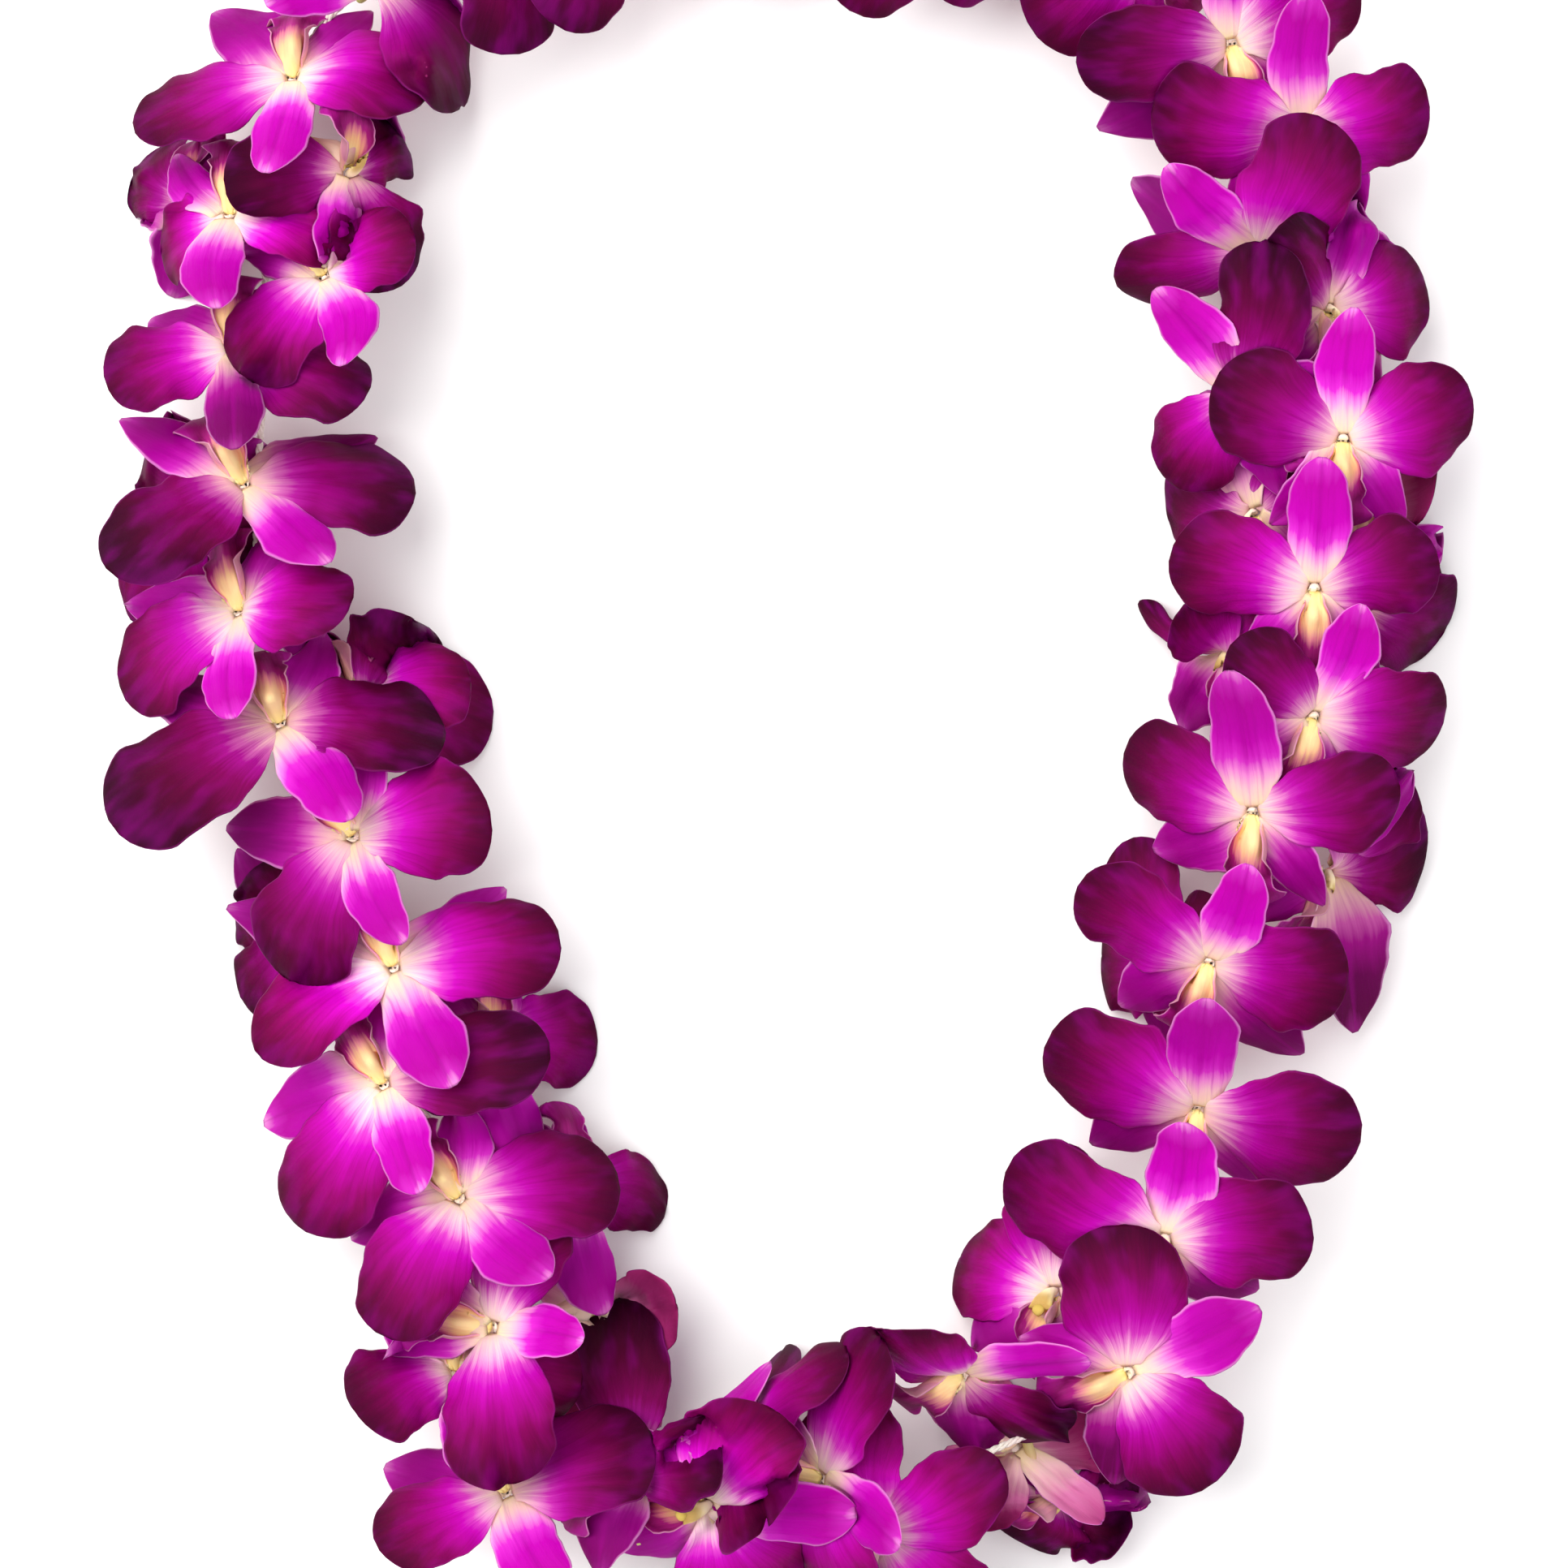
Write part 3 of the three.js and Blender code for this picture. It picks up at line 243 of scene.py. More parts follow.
    ["front_blossom_17", [18.13, -181.63, 30.75], [0.1267, -0.1405, -0.4849, 0.8539], [[0.7, 32.4, 0.5], [-28.7, 7.2, 1.0], [28.7, 7.2, 1.0], [-14.5, -19.6, -1.6], [14.5, -19.6, -1.6], [-0.0, -13.4, 9.3]], [19.61, -175.52, 21.0], 375.8],
    ["front_blossom_18", [36.23, -148.87, 27.54], [0.4239, 0.095, -0.4336, 0.7894], [[3.7, 31.3, 1.6], [-26.1, 2.9, 6.4], [27.9, 7.0, 1.0], [-14.1, -19.1, -1.5], [14.1, -19.1, -1.5], [-0.0, -13.1, 9.0]], [48.1, -163.48, 21.0], 404.5],
    ["side_blossom_10", [48.13, -166.63, 16.2], [0.8487, 0.3453, -0.2003, 0.347], [[0.9, 25.3, 3.0], [-20.5, 2.5, 6.2], [23.8, 6.8, 3.2], [-13.2, -18.0, -1.4], [12.9, -18.1, -2.7], [0.0, -12.3, 8.5]], [50.14, -162.52, 21.0], 408.9],
    ["side_blossom_11", [58.13, -177.83, 14.0], [-0.2022, -0.5506, 0.7009, -0.4059], [[-3.2, 23.2, 0.4], [-18.9, 6.2, 3.2], [20.1, -1.7, 5.0], [-5.9, -14.9, -7.7], [13.2, -17.9, -1.4], [-0.0, -12.2, 8.5]], [52.43, -161.35, 21.0], 412.7],
    ["front_blossom_19", [71.58, -147.66, 31.29], [0.0929, -0.0356, -0.5522, 0.8278], [[-2.9, 31.5, 1.4], [-30.5, 9.3, 0.6], [28.7, 6.9, 1.1], [-14.6, -19.8, -1.6], [22.3, -12.8, -2.6], [-0.0, -13.5, 9.4]], [69.73, -144.62, 21.0], 437.7],
    ["side_blossom_12", [56.06, -131.63, 20.0], [-0.1709, -0.3144, -0.0646, 0.9316], [[-0.0, 27.4, 2.0], [-27.4, 6.7, 0.8], [21.2, 9.9, -6.9], [-13.9, -18.9, -1.5], [9.3, -16.8, -7.2], [-4.3, -13.2, 5.3]], [72.1, -140.21, 21.0], 445.3],
    ["front_blossom_20", [79.34, -119.56, 30.7], [0.1852, -0.0622, -0.0678, 0.9784], [[0.1, 29.3, 2.2], [-34.9, 11.0, 0.2], [30.4, 8.2, 0.7], [-30.8, -4.3, -6.4], [15.0, -20.4, -1.6], [0.0, -13.9, 9.7]], [79.81, -116.21, 21.0], 466.2],
    ["front_blossom_21", [86.41, -92.32, 29.52], [0.2907, -0.0985, -0.0832, 0.9481], [[-2.7, 31.0, 2.0], [-34.0, 8.6, 1.0], [34.4, 4.5, 2.7], [-15.3, -20.8, -1.6], [21.9, -20.9, -2.7], [-0.0, -14.2, 9.9]], [86.15, -87.13, 21.0], 494.2],
    ["side_blossom_13", [81.92, -60.94, 13.0], [0.0559, -0.5181, 0.1599, 0.8384], [[0.0, 27.7, 2.0], [-16.2, 5.9, 8.1], [16.7, 8.0, -4.8], [-13.8, -19.4, -1.3], [13.0, -19.1, -2.1], [-0.0, -13.1, 9.1]], [91.36, -59.14, 21.0], 524.1],
    ["front_blossom_22", [88.82, -60.94, 29.72], [0.2824, -0.0712, -0.1561, 0.9438], [[0.0, 27.7, 2.4], [-31.3, 7.9, 0.7], [28.5, 7.3, 1.0], [-14.4, -19.5, -1.5], [14.4, -19.5, -1.5], [-0.0, -13.4, 9.3]], [92.04, -56.66, 21.0], 525.5],
    ["side_blossom_14", [116.41, -41.97, 15.0], [0.1912, 0.5762, -0.3264, 0.7245], [[-0.8, 28.6, -1.6], [-12.8, 25.7, 0.9], [11.9, 24.2, 3.9], [-9.2, -20.7, -3.5], [19.4, -11.8, 17.9], [-0.0, -14.6, 10.1]], [100.49, -32.52, 21.0], 552.7],
    ["front_blossom_23", [97.96, -28.7, 30.24], [0.1507, -0.1931, -0.0007, 0.9695], [[-3.5, 32.0, 2.7], [-28.5, 12.5, -1.0], [31.2, 8.8, -0.1], [-14.9, -20.2, -1.6], [14.9, -20.2, -1.6], [0.0, -13.8, 9.5]], [102.66, -26.63, 21.0], 558.8],
    ["front_blossom_24", [111.23, -8.35, 30.41], [0.1831, 0.1365, -0.1745, 0.9578], [[-1.7, 27.1, 1.3], [-23.3, 9.9, 1.4], [28.4, 9.5, 0.5], [-13.7, -18.7, -1.5], [13.7, -18.7, -1.5], [0.0, -12.8, 8.8]], [108.71, -4.63, 21.0], 581.9],
    ["side_blossom_15", [94.85, 6.3, 14.0], [0.0552, -0.5346, 0.065, 0.8408], [[5.0, 2.3, 15.3], [-18.6, 13.0, 11.6], [14.9, 7.4, -6.4], [-12.8, -19.7, -0.7], [13.4, -18.9, -1.7], [0.0, -12.9, 8.9]], [110.27, 7.01, 21.0], 594.4],
    ["side_blossom_16", [123.3, 15.79, 15.0], [0.216, 0.5329, -0.386, 0.7213], [[-1.0, 25.1, -1.9], [-12.1, 18.8, 1.6], [16.5, 14.7, 12.1], [-9.8, -19.9, -3.5], [15.1, -20.5, -1.6], [0.0, -14.0, 9.7]], [111.84, 22.88, 21.0], 607.0],
    ["front_blossom_25", [111.23, 18.89, 30.8], [0.1752, -0.0508, -0.0, 0.9832], [[1.0, 29.4, 1.4], [-30.4, 7.5, 1.1], [25.7, 7.4, 1.2], [-14.2, -19.3, -1.5], [14.2, -19.3, -1.5], [0.0, -13.2, 9.1]], [111.76, 22.08, 21.0], 608.7],
    ["side_blossom_17", [99.16, 35.61, 18.0], [0.1054, -0.4991, 0.1395, 0.8487], [[0.0, 28.4, 2.1], [-20.5, 15.3, 3.1], [12.1, 14.1, -8.7], [-14.5, -19.7, -1.6], [10.8, -19.8, -3.6], [0.0, -13.4, 9.3]], [113.13, 37.94, 21.0], 624.5],
    ["side_blossom_18", [125.03, 40.79, 12.0], [0.1229, 0.8554, -0.0434, 0.5013], [[-0.0, 27.7, 2.0], [-18.1, 5.8, 6.2], [20.8, 14.0, -14.3], [-14.1, -19.1, -1.5], [12.5, -20.0, -2.9], [0.0, -13.1, 9.1]], [113.43, 42.76, 21.0], 631.5],
    ["front_blossom_26", [117.27, 50.61, 31.17], [0.1225, -0.0225, -0.0233, 0.9919], [[0.1, 28.7, 1.8], [-27.8, 11.5, -0.1], [26.2, 11.2, 0.0], [-14.1, -19.2, -1.5], [14.1, -19.2, -1.5], [0.0, -13.1, 9.1]], [113.75, 52.73, 21.0], 640.7],
    ["front_blossom_27", [95.72, 60.61, 30.51], [0.0504, -0.2113, 0.4468, 0.8679], [[7.1, 28.2, -1.2], [-25.8, 2.4, -0.7], [29.5, 14.5, 1.4], [-14.3, -19.4, -1.5], [14.3, -19.4, -1.5], [-0.0, -13.3, 9.2]], [113.44, 63.99, 21.0], 651.3],
    ["side_blossom_19", [115.54, 79.06, 24.0], [-0.0075, 0.3969, -0.1687, 0.9022], [[-1.4, 24.8, 0.0], [-25.5, 9.1, 3.4], [27.7, 6.2, 1.3], [-13.8, -18.7, -1.5], [13.8, -18.7, -1.5], [0.0, -12.8, 8.8]], [111.66, 80.46, 21.0], 668.6],
    ["front_blossom_28", [100.03, 91.13, 29.55], [0.2677, -0.1456, 0.3123, 0.8998], [[-2.4, 29.6, 2.9], [-29.6, 12.0, -0.9], [28.4, 14.5, -2.0], [-20.9, 18.5, -16.7], [14.6, -19.9, -1.6], [0.0, -13.6, 9.4]], [109.21, 97.35, 21.0], 682.8],
    ["front_blossom_29", [108.82, 116.82, 30.54], [0.2139, -0.0129, -0.0013, 0.9768], [[0.1, 30.0, 1.3], [-31.8, 6.0, 1.7], [26.3, 6.7, 1.3], [-14.4, -19.6, -1.5], [14.4, -19.6, -1.5], [-0.0, -13.4, 9.3]], [104.86, 119.23, 21.0], 706.7],
    ["front_blossom_30", [93.99, 134.75, 30.25], [0.2215, 0.1013, 0.1251, 0.9618], [[2.0, 30.0, 2.0], [-33.4, 6.7, 0.8], [29.5, 7.4, 1.1], [-28.1, -18.9, -4.3], [14.8, -20.1, -1.6], [0.0, -13.8, 9.5]], [93.77, 140.01, 21.0], 729.2],
    ["front_blossom_31", [74.29, 154.66, 31.31], [0.2366, 0.0544, 0.4208, 0.8741], [[-0.0, 27.0, 2.0], [-27.3, 6.9, 1.0], [27.3, 6.9, 1.0], [-13.7, -18.6, -1.5], [13.7, -18.6, -1.5], [0.0, -12.7, 8.8]], [72.28, 159.17, 21.0], 758.4],
    ["side_blossom_20", [48.22, 161.61, 15.0], [0.5871, -0.5569, 0.4559, 0.3705], [[0.0, 27.0, 2.0], [-17.7, 14.6, -16.2], [13.3, 8.8, 6.5], [-13.7, -18.6, -1.5], [9.2, -18.3, 0.0], [0.0, -12.7, 8.8]], [46.93, 169.2, 21.0], 786.7],
    ["front_blossom_32", [48.97, 169.0, 30.38], [0.2174, 0.1137, 0.548, 0.7997], [[-0.0, 27.9, 2.0], [-28.2, 7.1, 1.0], [28.2, 7.1, 1.0], [-14.2, -19.3, -1.5], [14.2, -19.3, -1.5], [-0.0, -13.2, 9.1]], [44.9, 169.7, 21.0], 787.9],
    ["front_blossom_33", [21.43, 168.4, 31.48], [0.2261, 0.1791, 0.6747, 0.6794], [[-0.0, 27.4, 2.0], [-27.1, 6.9, 1.0], [27.7, 7.0, 1.0], [-14.0, -18.9, -1.5], [14.0, -18.9, -1.5], [-0.0, -13.0, 9.0]], [16.73, 173.71, 21.0], 815.4],
    ["front_blossom_34", [-5.68, 178.39, 30.7], [0.1626, 0.137, 0.7128, 0.6684], [[0.0, 29.0, 2.1], [-29.3, 7.4, 1.1], [28.1, 7.4, 1.1], [-14.7, -20.0, -1.6], [14.7, -20.0, -1.6], [0.0, -13.7, 9.5]], [-9.16, 173.64, 21.0], 842.8],
    ["front_blossom_35", [-35.84, 170.24, 30.29], [0.1224, 0.1985, 0.6542, 0.7195], [[-0.0, 28.5, 2.1], [-28.8, 7.2, 1.0], [28.8, 7.2, 1.0], [-14.5, -19.7, -1.6], [14.5, -19.7, -1.6], [0.0, -13.5, 9.3]], [-39.88, 169.35, 21.0], 873.4],
    ["front_blossom_36", [-63.5, 167.93, 30.4], [0.1232, 0.2658, 0.7095, 0.6409], [[-0.0, 28.9, 2.1], [-29.2, 7.4, 1.1], [26.7, 6.7, 0.9], [-14.7, -20.0, -1.6], [14.7, -20.0, -1.6], [0.0, -13.7, 9.5]], [-66.6, 161.57, 21.0], 900.4],
    ["side_blossom_21", [-65.32, 169.46, 15.0], [0.6114, -0.4947, -0.3565, -0.5043], [[0.0, 26.9, 2.0], [-14.7, 10.4, 4.2], [18.0, -20.5, 6.7], [-6.2, -16.5, 0.4], [13.7, -18.6, -1.5], [0.0, -12.7, 8.8]], [-66.29, 161.69, 21.0], 901.6],
    ["front_blossom_37", [-88.35, 149.61, 30.81], [0.166, 0.2381, 0.7886, 0.5422], [[-0.0, 28.1, 2.0], [-30.0, -16.3, -8.0], [28.4, 7.1, 1.0], [-14.3, -19.4, -1.5], [14.3, -19.4, -1.5], [0.0, -13.3, 9.2]], [-93.18, 147.94, 21.0], 930.4],
    ["front_blossom_38", [-106.53, 129.06, 29.42], [-0.0899, 0.3013, 0.9493, -0.0078], [[2.2, 29.0, 2.9], [-29.7, 6.3, 1.9], [34.1, 10.2, 0.0], [-14.9, -20.3, -1.6], [14.9, -20.3, -1.6], [0.0, -13.9, 9.6]], [-109.2, 125.39, 21.0], 959.0],
]
LOOP = 965.37

# Looks of single blossoms, where they differ. D dorsal sepal, PL and PR petals, LL and LR lateral sepals:
# tone (+ darker, - brighter), half width in mm, arch, bend and so on, and which shape a part takes.
LOOKS = {
    "side_blossom_01": {"on_top": True, "as_D": "petal", "half_D": 10.5, "half_PL": 8.5, "half_PR": 9.5, "half_LR": 5.0, "tone_D": 0.55, "tone_PL": 0.6, "tone_PR": 0.2, "tone_LR": -0.5},
    "side_blossom_02": {"half_PR": 10.0, "tone_PR": 0.15, "half_D": 7, "half_PL": 8, "half_LR": 7.5, "move_LR": (-16.6, -18.3, 5.4)},
    "front_blossom_01": {"half_PR": 10.0, "half_PL": 9.5, "tone_PL": -0.1, "bend_D": 2.5},
    "front_blossom_02": {"half_PR": 11.5, "tone_PR": 0.1, "half_D": 6.3, "bend_D": -3.0, "tone_PL": -0.1},
    "front_blossom_03": {"half_PR": 11.0, "half_PL": 11.5, "tone_PL": 0.45, "tone_D": 0.7, "tone_PR": 0.15, "half_LR": 8.5, "tone_LR": 0.3, "move_LR": (-4.3, -6.8, 0.0)},
    "front_blossom_04": {"half_PR": 12.5, "half_PL": 13.0, "tone_PL": 0.55, "tone_PR": 0.85, "half_D": 7.0, "tone_D": 0.1, "half_LR": 8.0, "half_LL": 9.0, "tone_LL": 0.6, "move_LL": (24.9, -7.9, 0.0)},
    "side_blossom_03": {"half_PR": 12.0, "tone_PR": 0.2, "half_LR": 9.0, "half_D": 10.0, "as_D": "petal", "tone_LR": 0.4, "move_LR": (-11.1, -7.1, 14.6), "move_D": (-5.2, -2.3, 7.3)},
    "front_blossom_05": {"half_PR": 13.0, "half_PL": 10.8, "tone_PL": 0.05, "tone_PR": 0.0, "half_LR": 7.5, "bend_D": 2.5},
    "side_blossom_04": {"half_PR": 11.5, "tone_PR": 0.3, "tone_PL": -0.25, "half_PL": 13.0, "as_D": "petal", "half_D": 10.5, "tone_D": -0.3, "move_D": (4.9, 20.2, -7.0)},
    "front_blossom_06": {"half_PR": 14.2, "half_PL": 12.8, "tone_PL": 0.65, "tone_PR": 0.68, "half_D": 7.4, "half_LR": 9.0, "tone_LR": 0.3, "move_LR": (-10.2, -3.3, 0.0)},
    "front_blossom_07": {"half_PR": 12.6, "half_PL": 12.4, "tone_PR": 0.5, "tone_PL": 0.15, "half_LR": 8.5, "tone_LR": 0.3, "move_LR": (-7.0, -5.8, 0.0)},
    "side_blossom_05": {"half_PR": 11.0, "half_D": 10.0, "as_D": "petal", "tone_PR": 0.2, "tone_D": 0.25, "half_LR": 8.5},
    "front_blossom_08": {"tone_PL": 0.0, "half_PL": 11.8, "half_PR": 10.5, "tone_PR": -0.25, "half_LR": 8.5, "tone_LR": 0.3, "half_LL": 8.0, "move_LR": (-14.3, 1.9, 0.0), "move_LL": (17.0, -5.2, 0.0)},
    "side_blossom_06": {"half_PL": 10.5, "tone_PL": -0.1},
    "front_blossom_09": {"half_PR": 13.5, "half_PL": 11.6, "tone_PL": 0.6, "half_LR": 10.0, "tone_LR": -0.1, "move_LR": (-0.4, -6.7, 0.0)},
    "front_blossom_10": {"half_PR": 11.8, "half_PL": 13.0, "tone_PL": 0.35, "tone_PR": 0.1, "half_D": 7.4, "half_LR": 8.0, "move_LR": (0.2, -7.6, 0.0)},
    "side_blossom_07": {"half_PL": 8.5, "tone_PL": 0.15},
    "front_blossom_11": {"half_PR": 12.6, "tone_PR": 0.1},
    "front_blossom_12": {"along": 305.0, "half_PR": 11.5, "tone_PR": 0.2},
    "front_blossom_13": {"half_PR": 10.8, "half_PL": 13.5, "tone_PL": 0.35, "tone_PR": 0.1, "half_LR": 10.0, "tone_LR": 0.2, "move_LR": (-6.4, -1.4, 0.0)},
    "side_blossom_09": {"on_top": True, "half_D": 2.6, "half_PL": 11.5, "half_PR": 9.5, "tone_PL": 0.35, "tone_PR": 0.2, "tone_D": -0.4, "bend_D": 3.0, "half_LR": 8.5},
    "front_blossom_14": {"half_D": 8.0, "tone_D": -0.1, "tone_PL": -0.15, "half_LR": 8.5},
    "front_blossom_15": {"tone_PL": 0.5, "tone_D": 0.5, "half_D": 8, "as_D": "petal", "half_PL": 9.5},
    "front_blossom_16": {"tone_PL": 0.2, "half_PL": 10.5},
    "front_blossom_17": {"half_D": 9.8, "as_D": "petal", "tone_D": 0.25},
    "front_blossom_18": {"half_PL": 11.5, "tone_PL": 0.15, "half_D": 6.6, "half_PR": 9.5, "tone_PR": 0.7, "half_LR": 9.0, "tone_LR": 0.5, "move_LR": (10.7, -8.9, 0.0)},
    "side_blossom_10": {"tone_PL": 0.3, "tone_PR": 0.3, "half_PR": 12.5, "half_PL": 12.5, "half_LL": 7.0, "move_LL": (23.3, 3.0, 9.3)},
    "side_blossom_11": {"tone": 0.35, "half_PL": 14.0, "half_PR": 13.0, "tone_PL": 0.3, "tone_PR": 0.3, "move_PL": (-1.7, -9.5, -5.0), "move_PR": (5.8, 1.2, 12.1)},
    "front_blossom_19": {"half_PL": 13.8, "tone_PL": 0.25, "half_D": 7.6, "tone_D": 0.25, "half_PR": 13.5, "tone_PR": 0.15, "half_LR": 8.5, "tone_LR": 0.6},
    "side_blossom_12": {"half_PL": 11.0, "tone_PL": -0.25, "half_D": 9.5, "as_D": "petal", "half_LL": 8.0, "move_D": (-3.6, 5.4, 0.0), "move_LL": (-2.7, 5.5, 0.3)},
    "front_blossom_20": {"half_PL": 12.8, "half_PR": 13.4, "tone_PR": 0.2, "tone_PL": 0.1, "half_D": 7.6, "half_LR": 9.0, "tone_LR": 0.4, "move_LR": (8.2, 8.1, 0.0)},
    "front_blossom_21": {"half_PL": 13.6, "half_PR": 14.0, "tone_PL": 0.2, "tone_PR": 0.3, "half_D": 7.6, "tone_D": 0.2, "half_LL": 9.0, "tone_LL": 0.2, "move_LL": (-5.4, 4.3, 0.0)},
    "side_blossom_13": {"half_D": 9.0, "as_D": "petal", "half_PL": 12.5, "half_LR": 8.0},
    "front_blossom_22": {"half_PL": 11.2, "half_PR": 13.0, "tone_PL": 0.2, "tone_PR": 0.25, "half_LR": 9.0, "tone_LR": 0.5, "half_LL": 8.5, "move_LR": (12.3, -1.3, 0.0)},
    "side_blossom_14": {"half_PR": 13.0, "half_PL": 12.0, "half_LR": 10.5, "tone_PR": 0.35, "tone_LR": 0.4, "tone_PL": 0.1, "move_PR": (1.7, -3.4, 9.8), "move_LR": (0.4, -9.3, 7.7)},
    "front_blossom_23": {"half_PL": 11.4, "half_PR": 10.4, "tone_PL": 0.3, "tone_PR": 0.3, "half_D": 8.0, "tone_D": 0.2, "half_LL": 8.5, "tone_LL": 0.2, "tone_LR": 0.3, "move_LL": (-8.1, 9.8, 0.0)},
    "front_blossom_24": {"half_PL": 8.6, "tone_PL": 0.45, "half_PR": 12.5, "tone_PR": 0.2},
    "side_blossom_15": {"half_PL": 2.8, "half_D": 9.0, "as_D": "petal", "tone_D": 0.1, "half_LL": 8.5, "move_D": (-1.2, 6.4, 0.0), "move_LL": (-10.0, 3.9, 12.4)},
    "side_blossom_16": {"half_PR": 12.5, "tone_PR": 0.25, "half_PL": 9.5, "move_PL": (3.6, -5.8, 0.0)},
    "front_blossom_25": {"half_PL": 11.6, "tone_PL": 0.1, "half_PR": 10.6, "tone_PR": 0.2},
    "side_blossom_17": {"half_PL": 9.5, "tone_PL": 0.2, "half_PR": 8.5, "tone_PR": 0.15},
    "side_blossom_18": {"half_PL": 12.0, "tone_PL": 0.3, "half_D": 9.0},
    "front_blossom_26": {"half_PL": 11.8, "tone_PL": 0.35, "half_PR": 11.8, "tone_PR": 0.25, "half_D": 6.2},
    "front_blossom_27": {"half_D": 6.4, "half_PR": 10.5, "tone_PR": 0.65},
    "side_blossom_19": {"on_top": True, "half_PL": 8.5, "half_D": 5.2, "half_PR": 12.0, "tone_PL": 0.25, "tone_PR": -0.1, "tone_D": -0.1, "half_LR": 8.0, "tone_LR": 0.4, "move_PR": (2.4, 9.1, 11.8), "move_LR": (4.7, -6.1, 0.0)},
    "front_blossom_28": {"half_PL": 9.0, "tone_PL": 0.2, "half_PR": 12.4, "tone_PR": 0.1, "half_D": 6.6, "half_LL": 9.5, "tone_LL": 0.4, "half_LR": 7.5, "tone_LR": -0.1, "move_LL": (-0.4, 5.5, 0.0), "move_LR": (8.6, 4.9, 0.0)},
    "front_blossom_29": {"half_PL": 12.0, "tone_PL": 0.15, "half_PR": 11.4, "tone_PR": 0.1, "half_D": 6.6, "tone_D": 0.25},
    "front_blossom_30": {"half_PL": 11.0, "tone_PL": 0.6, "half_LL": 10.0, "tone_LL": 0.3, "move_LL": (-4.1, 6.1, 0.0)},
    "front_blossom_35": {"tone_PL": 0.4, "move_PL": (-5.0, -4.6, 0.0)},
    "front_blossom_36": {"half_PL": 13.0, "tone_PL": 0.5, "move_PL": (5.6, -6.2, -10.1)},
    "front_blossom_37": {"tone_PL": 0.4},
    "front_blossom_38": {"half_PL": 12.6, "half_PR": 10.8, "tone_PL": 0.1, "tone_PR": 0.2, "half_LR": 9.5, "tone_LR": 0.3, "move_LR": (-5.5, 2.5, 0.0)},
}


def rotation(q):
    x, y, z, w = np.array(q, float) / np.linalg.norm(q)
    return np.array(
        [
            [1 - 2 * (y * y + z * z), 2 * (x * y - z * w), 2 * (x * z + y * w)],
            [2 * (x * y + z * w), 1 - 2 * (x * x + z * z), 2 * (y * z - x * w)],
            [2 * (x * z - y * w), 2 * (y * z + x * w), 1 - 2 * (x * x + y * y)],
        ]
    )


def unit(v):
    return v / max(np.linalg.norm(v), 1e-9)


# ---------------------------------------------------------------- the sheets: sepals, petals and lip

PROFILES = {
    "petal": [
        (0, 0.2), (0.07, 0.3), (0.17, 0.6), (0.3, 0.87), (0.44, 0.98), (0.58, 1.0), (0.7, 0.975),
        (0.8, 0.9), (0.88, 0.77), (0.94, 0.58), (0.98, 0.36), (1.0, 0.16),
    ],
    "dorsal": [
        (0, 0.5), (0.1, 0.62), (0.25, 0.83), (0.42, 0.97), (0.56, 1.0), (0.7, 0.95), (0.82, 0.8),
        (0.91, 0.57), (0.97, 0.32), (1.0, 0.12),
    ],
    "lateral": [
        (0, 0.6), (0.1, 0.64), (0.25, 0.86), (0.4, 1.0), (0.58, 0.93), (0.75, 0.7), (0.88, 0.42),
        (0.96, 0.2), (1.0, 0.07),
    ],
    "lip": [
        (0, 0.24), (0.15, 0.48), (0.3, 0.82), (0.42, 0.98), (0.52, 0.84), (0.6, 0.58), (0.7, 0.68),
        (0.82, 0.98), (0.92, 0.9), (0.98, 0.56), (1.0, 0.28),
    ],
}  # share of the half width along the sheet


def smooth_profile(name):
    at, w = np.array(PROFILES[name], float).T
    fine = np.linspace(0, 1, 401)
    values = np.interp(fine, at, w)
    kernel = np.hanning(33)
    kernel /= kernel.sum()
    padded = np.r_[2 * values[0] - values[16:0:-1], values, np.full(16, values[-1])]
    soft = np.convolve(padded, kernel, "valid")
    keep = np.clip((fine - 0.9) / 0.1, 0, 1)  # the tip keeps its own roundness
    return fine, soft * (1 - keep) + values * keep


SMOOTHED = {name: smooth_profile(name) for name in PROFILES}


def width_at(kind, u):
    return np.interp(u, *SMOOTHED[kind])


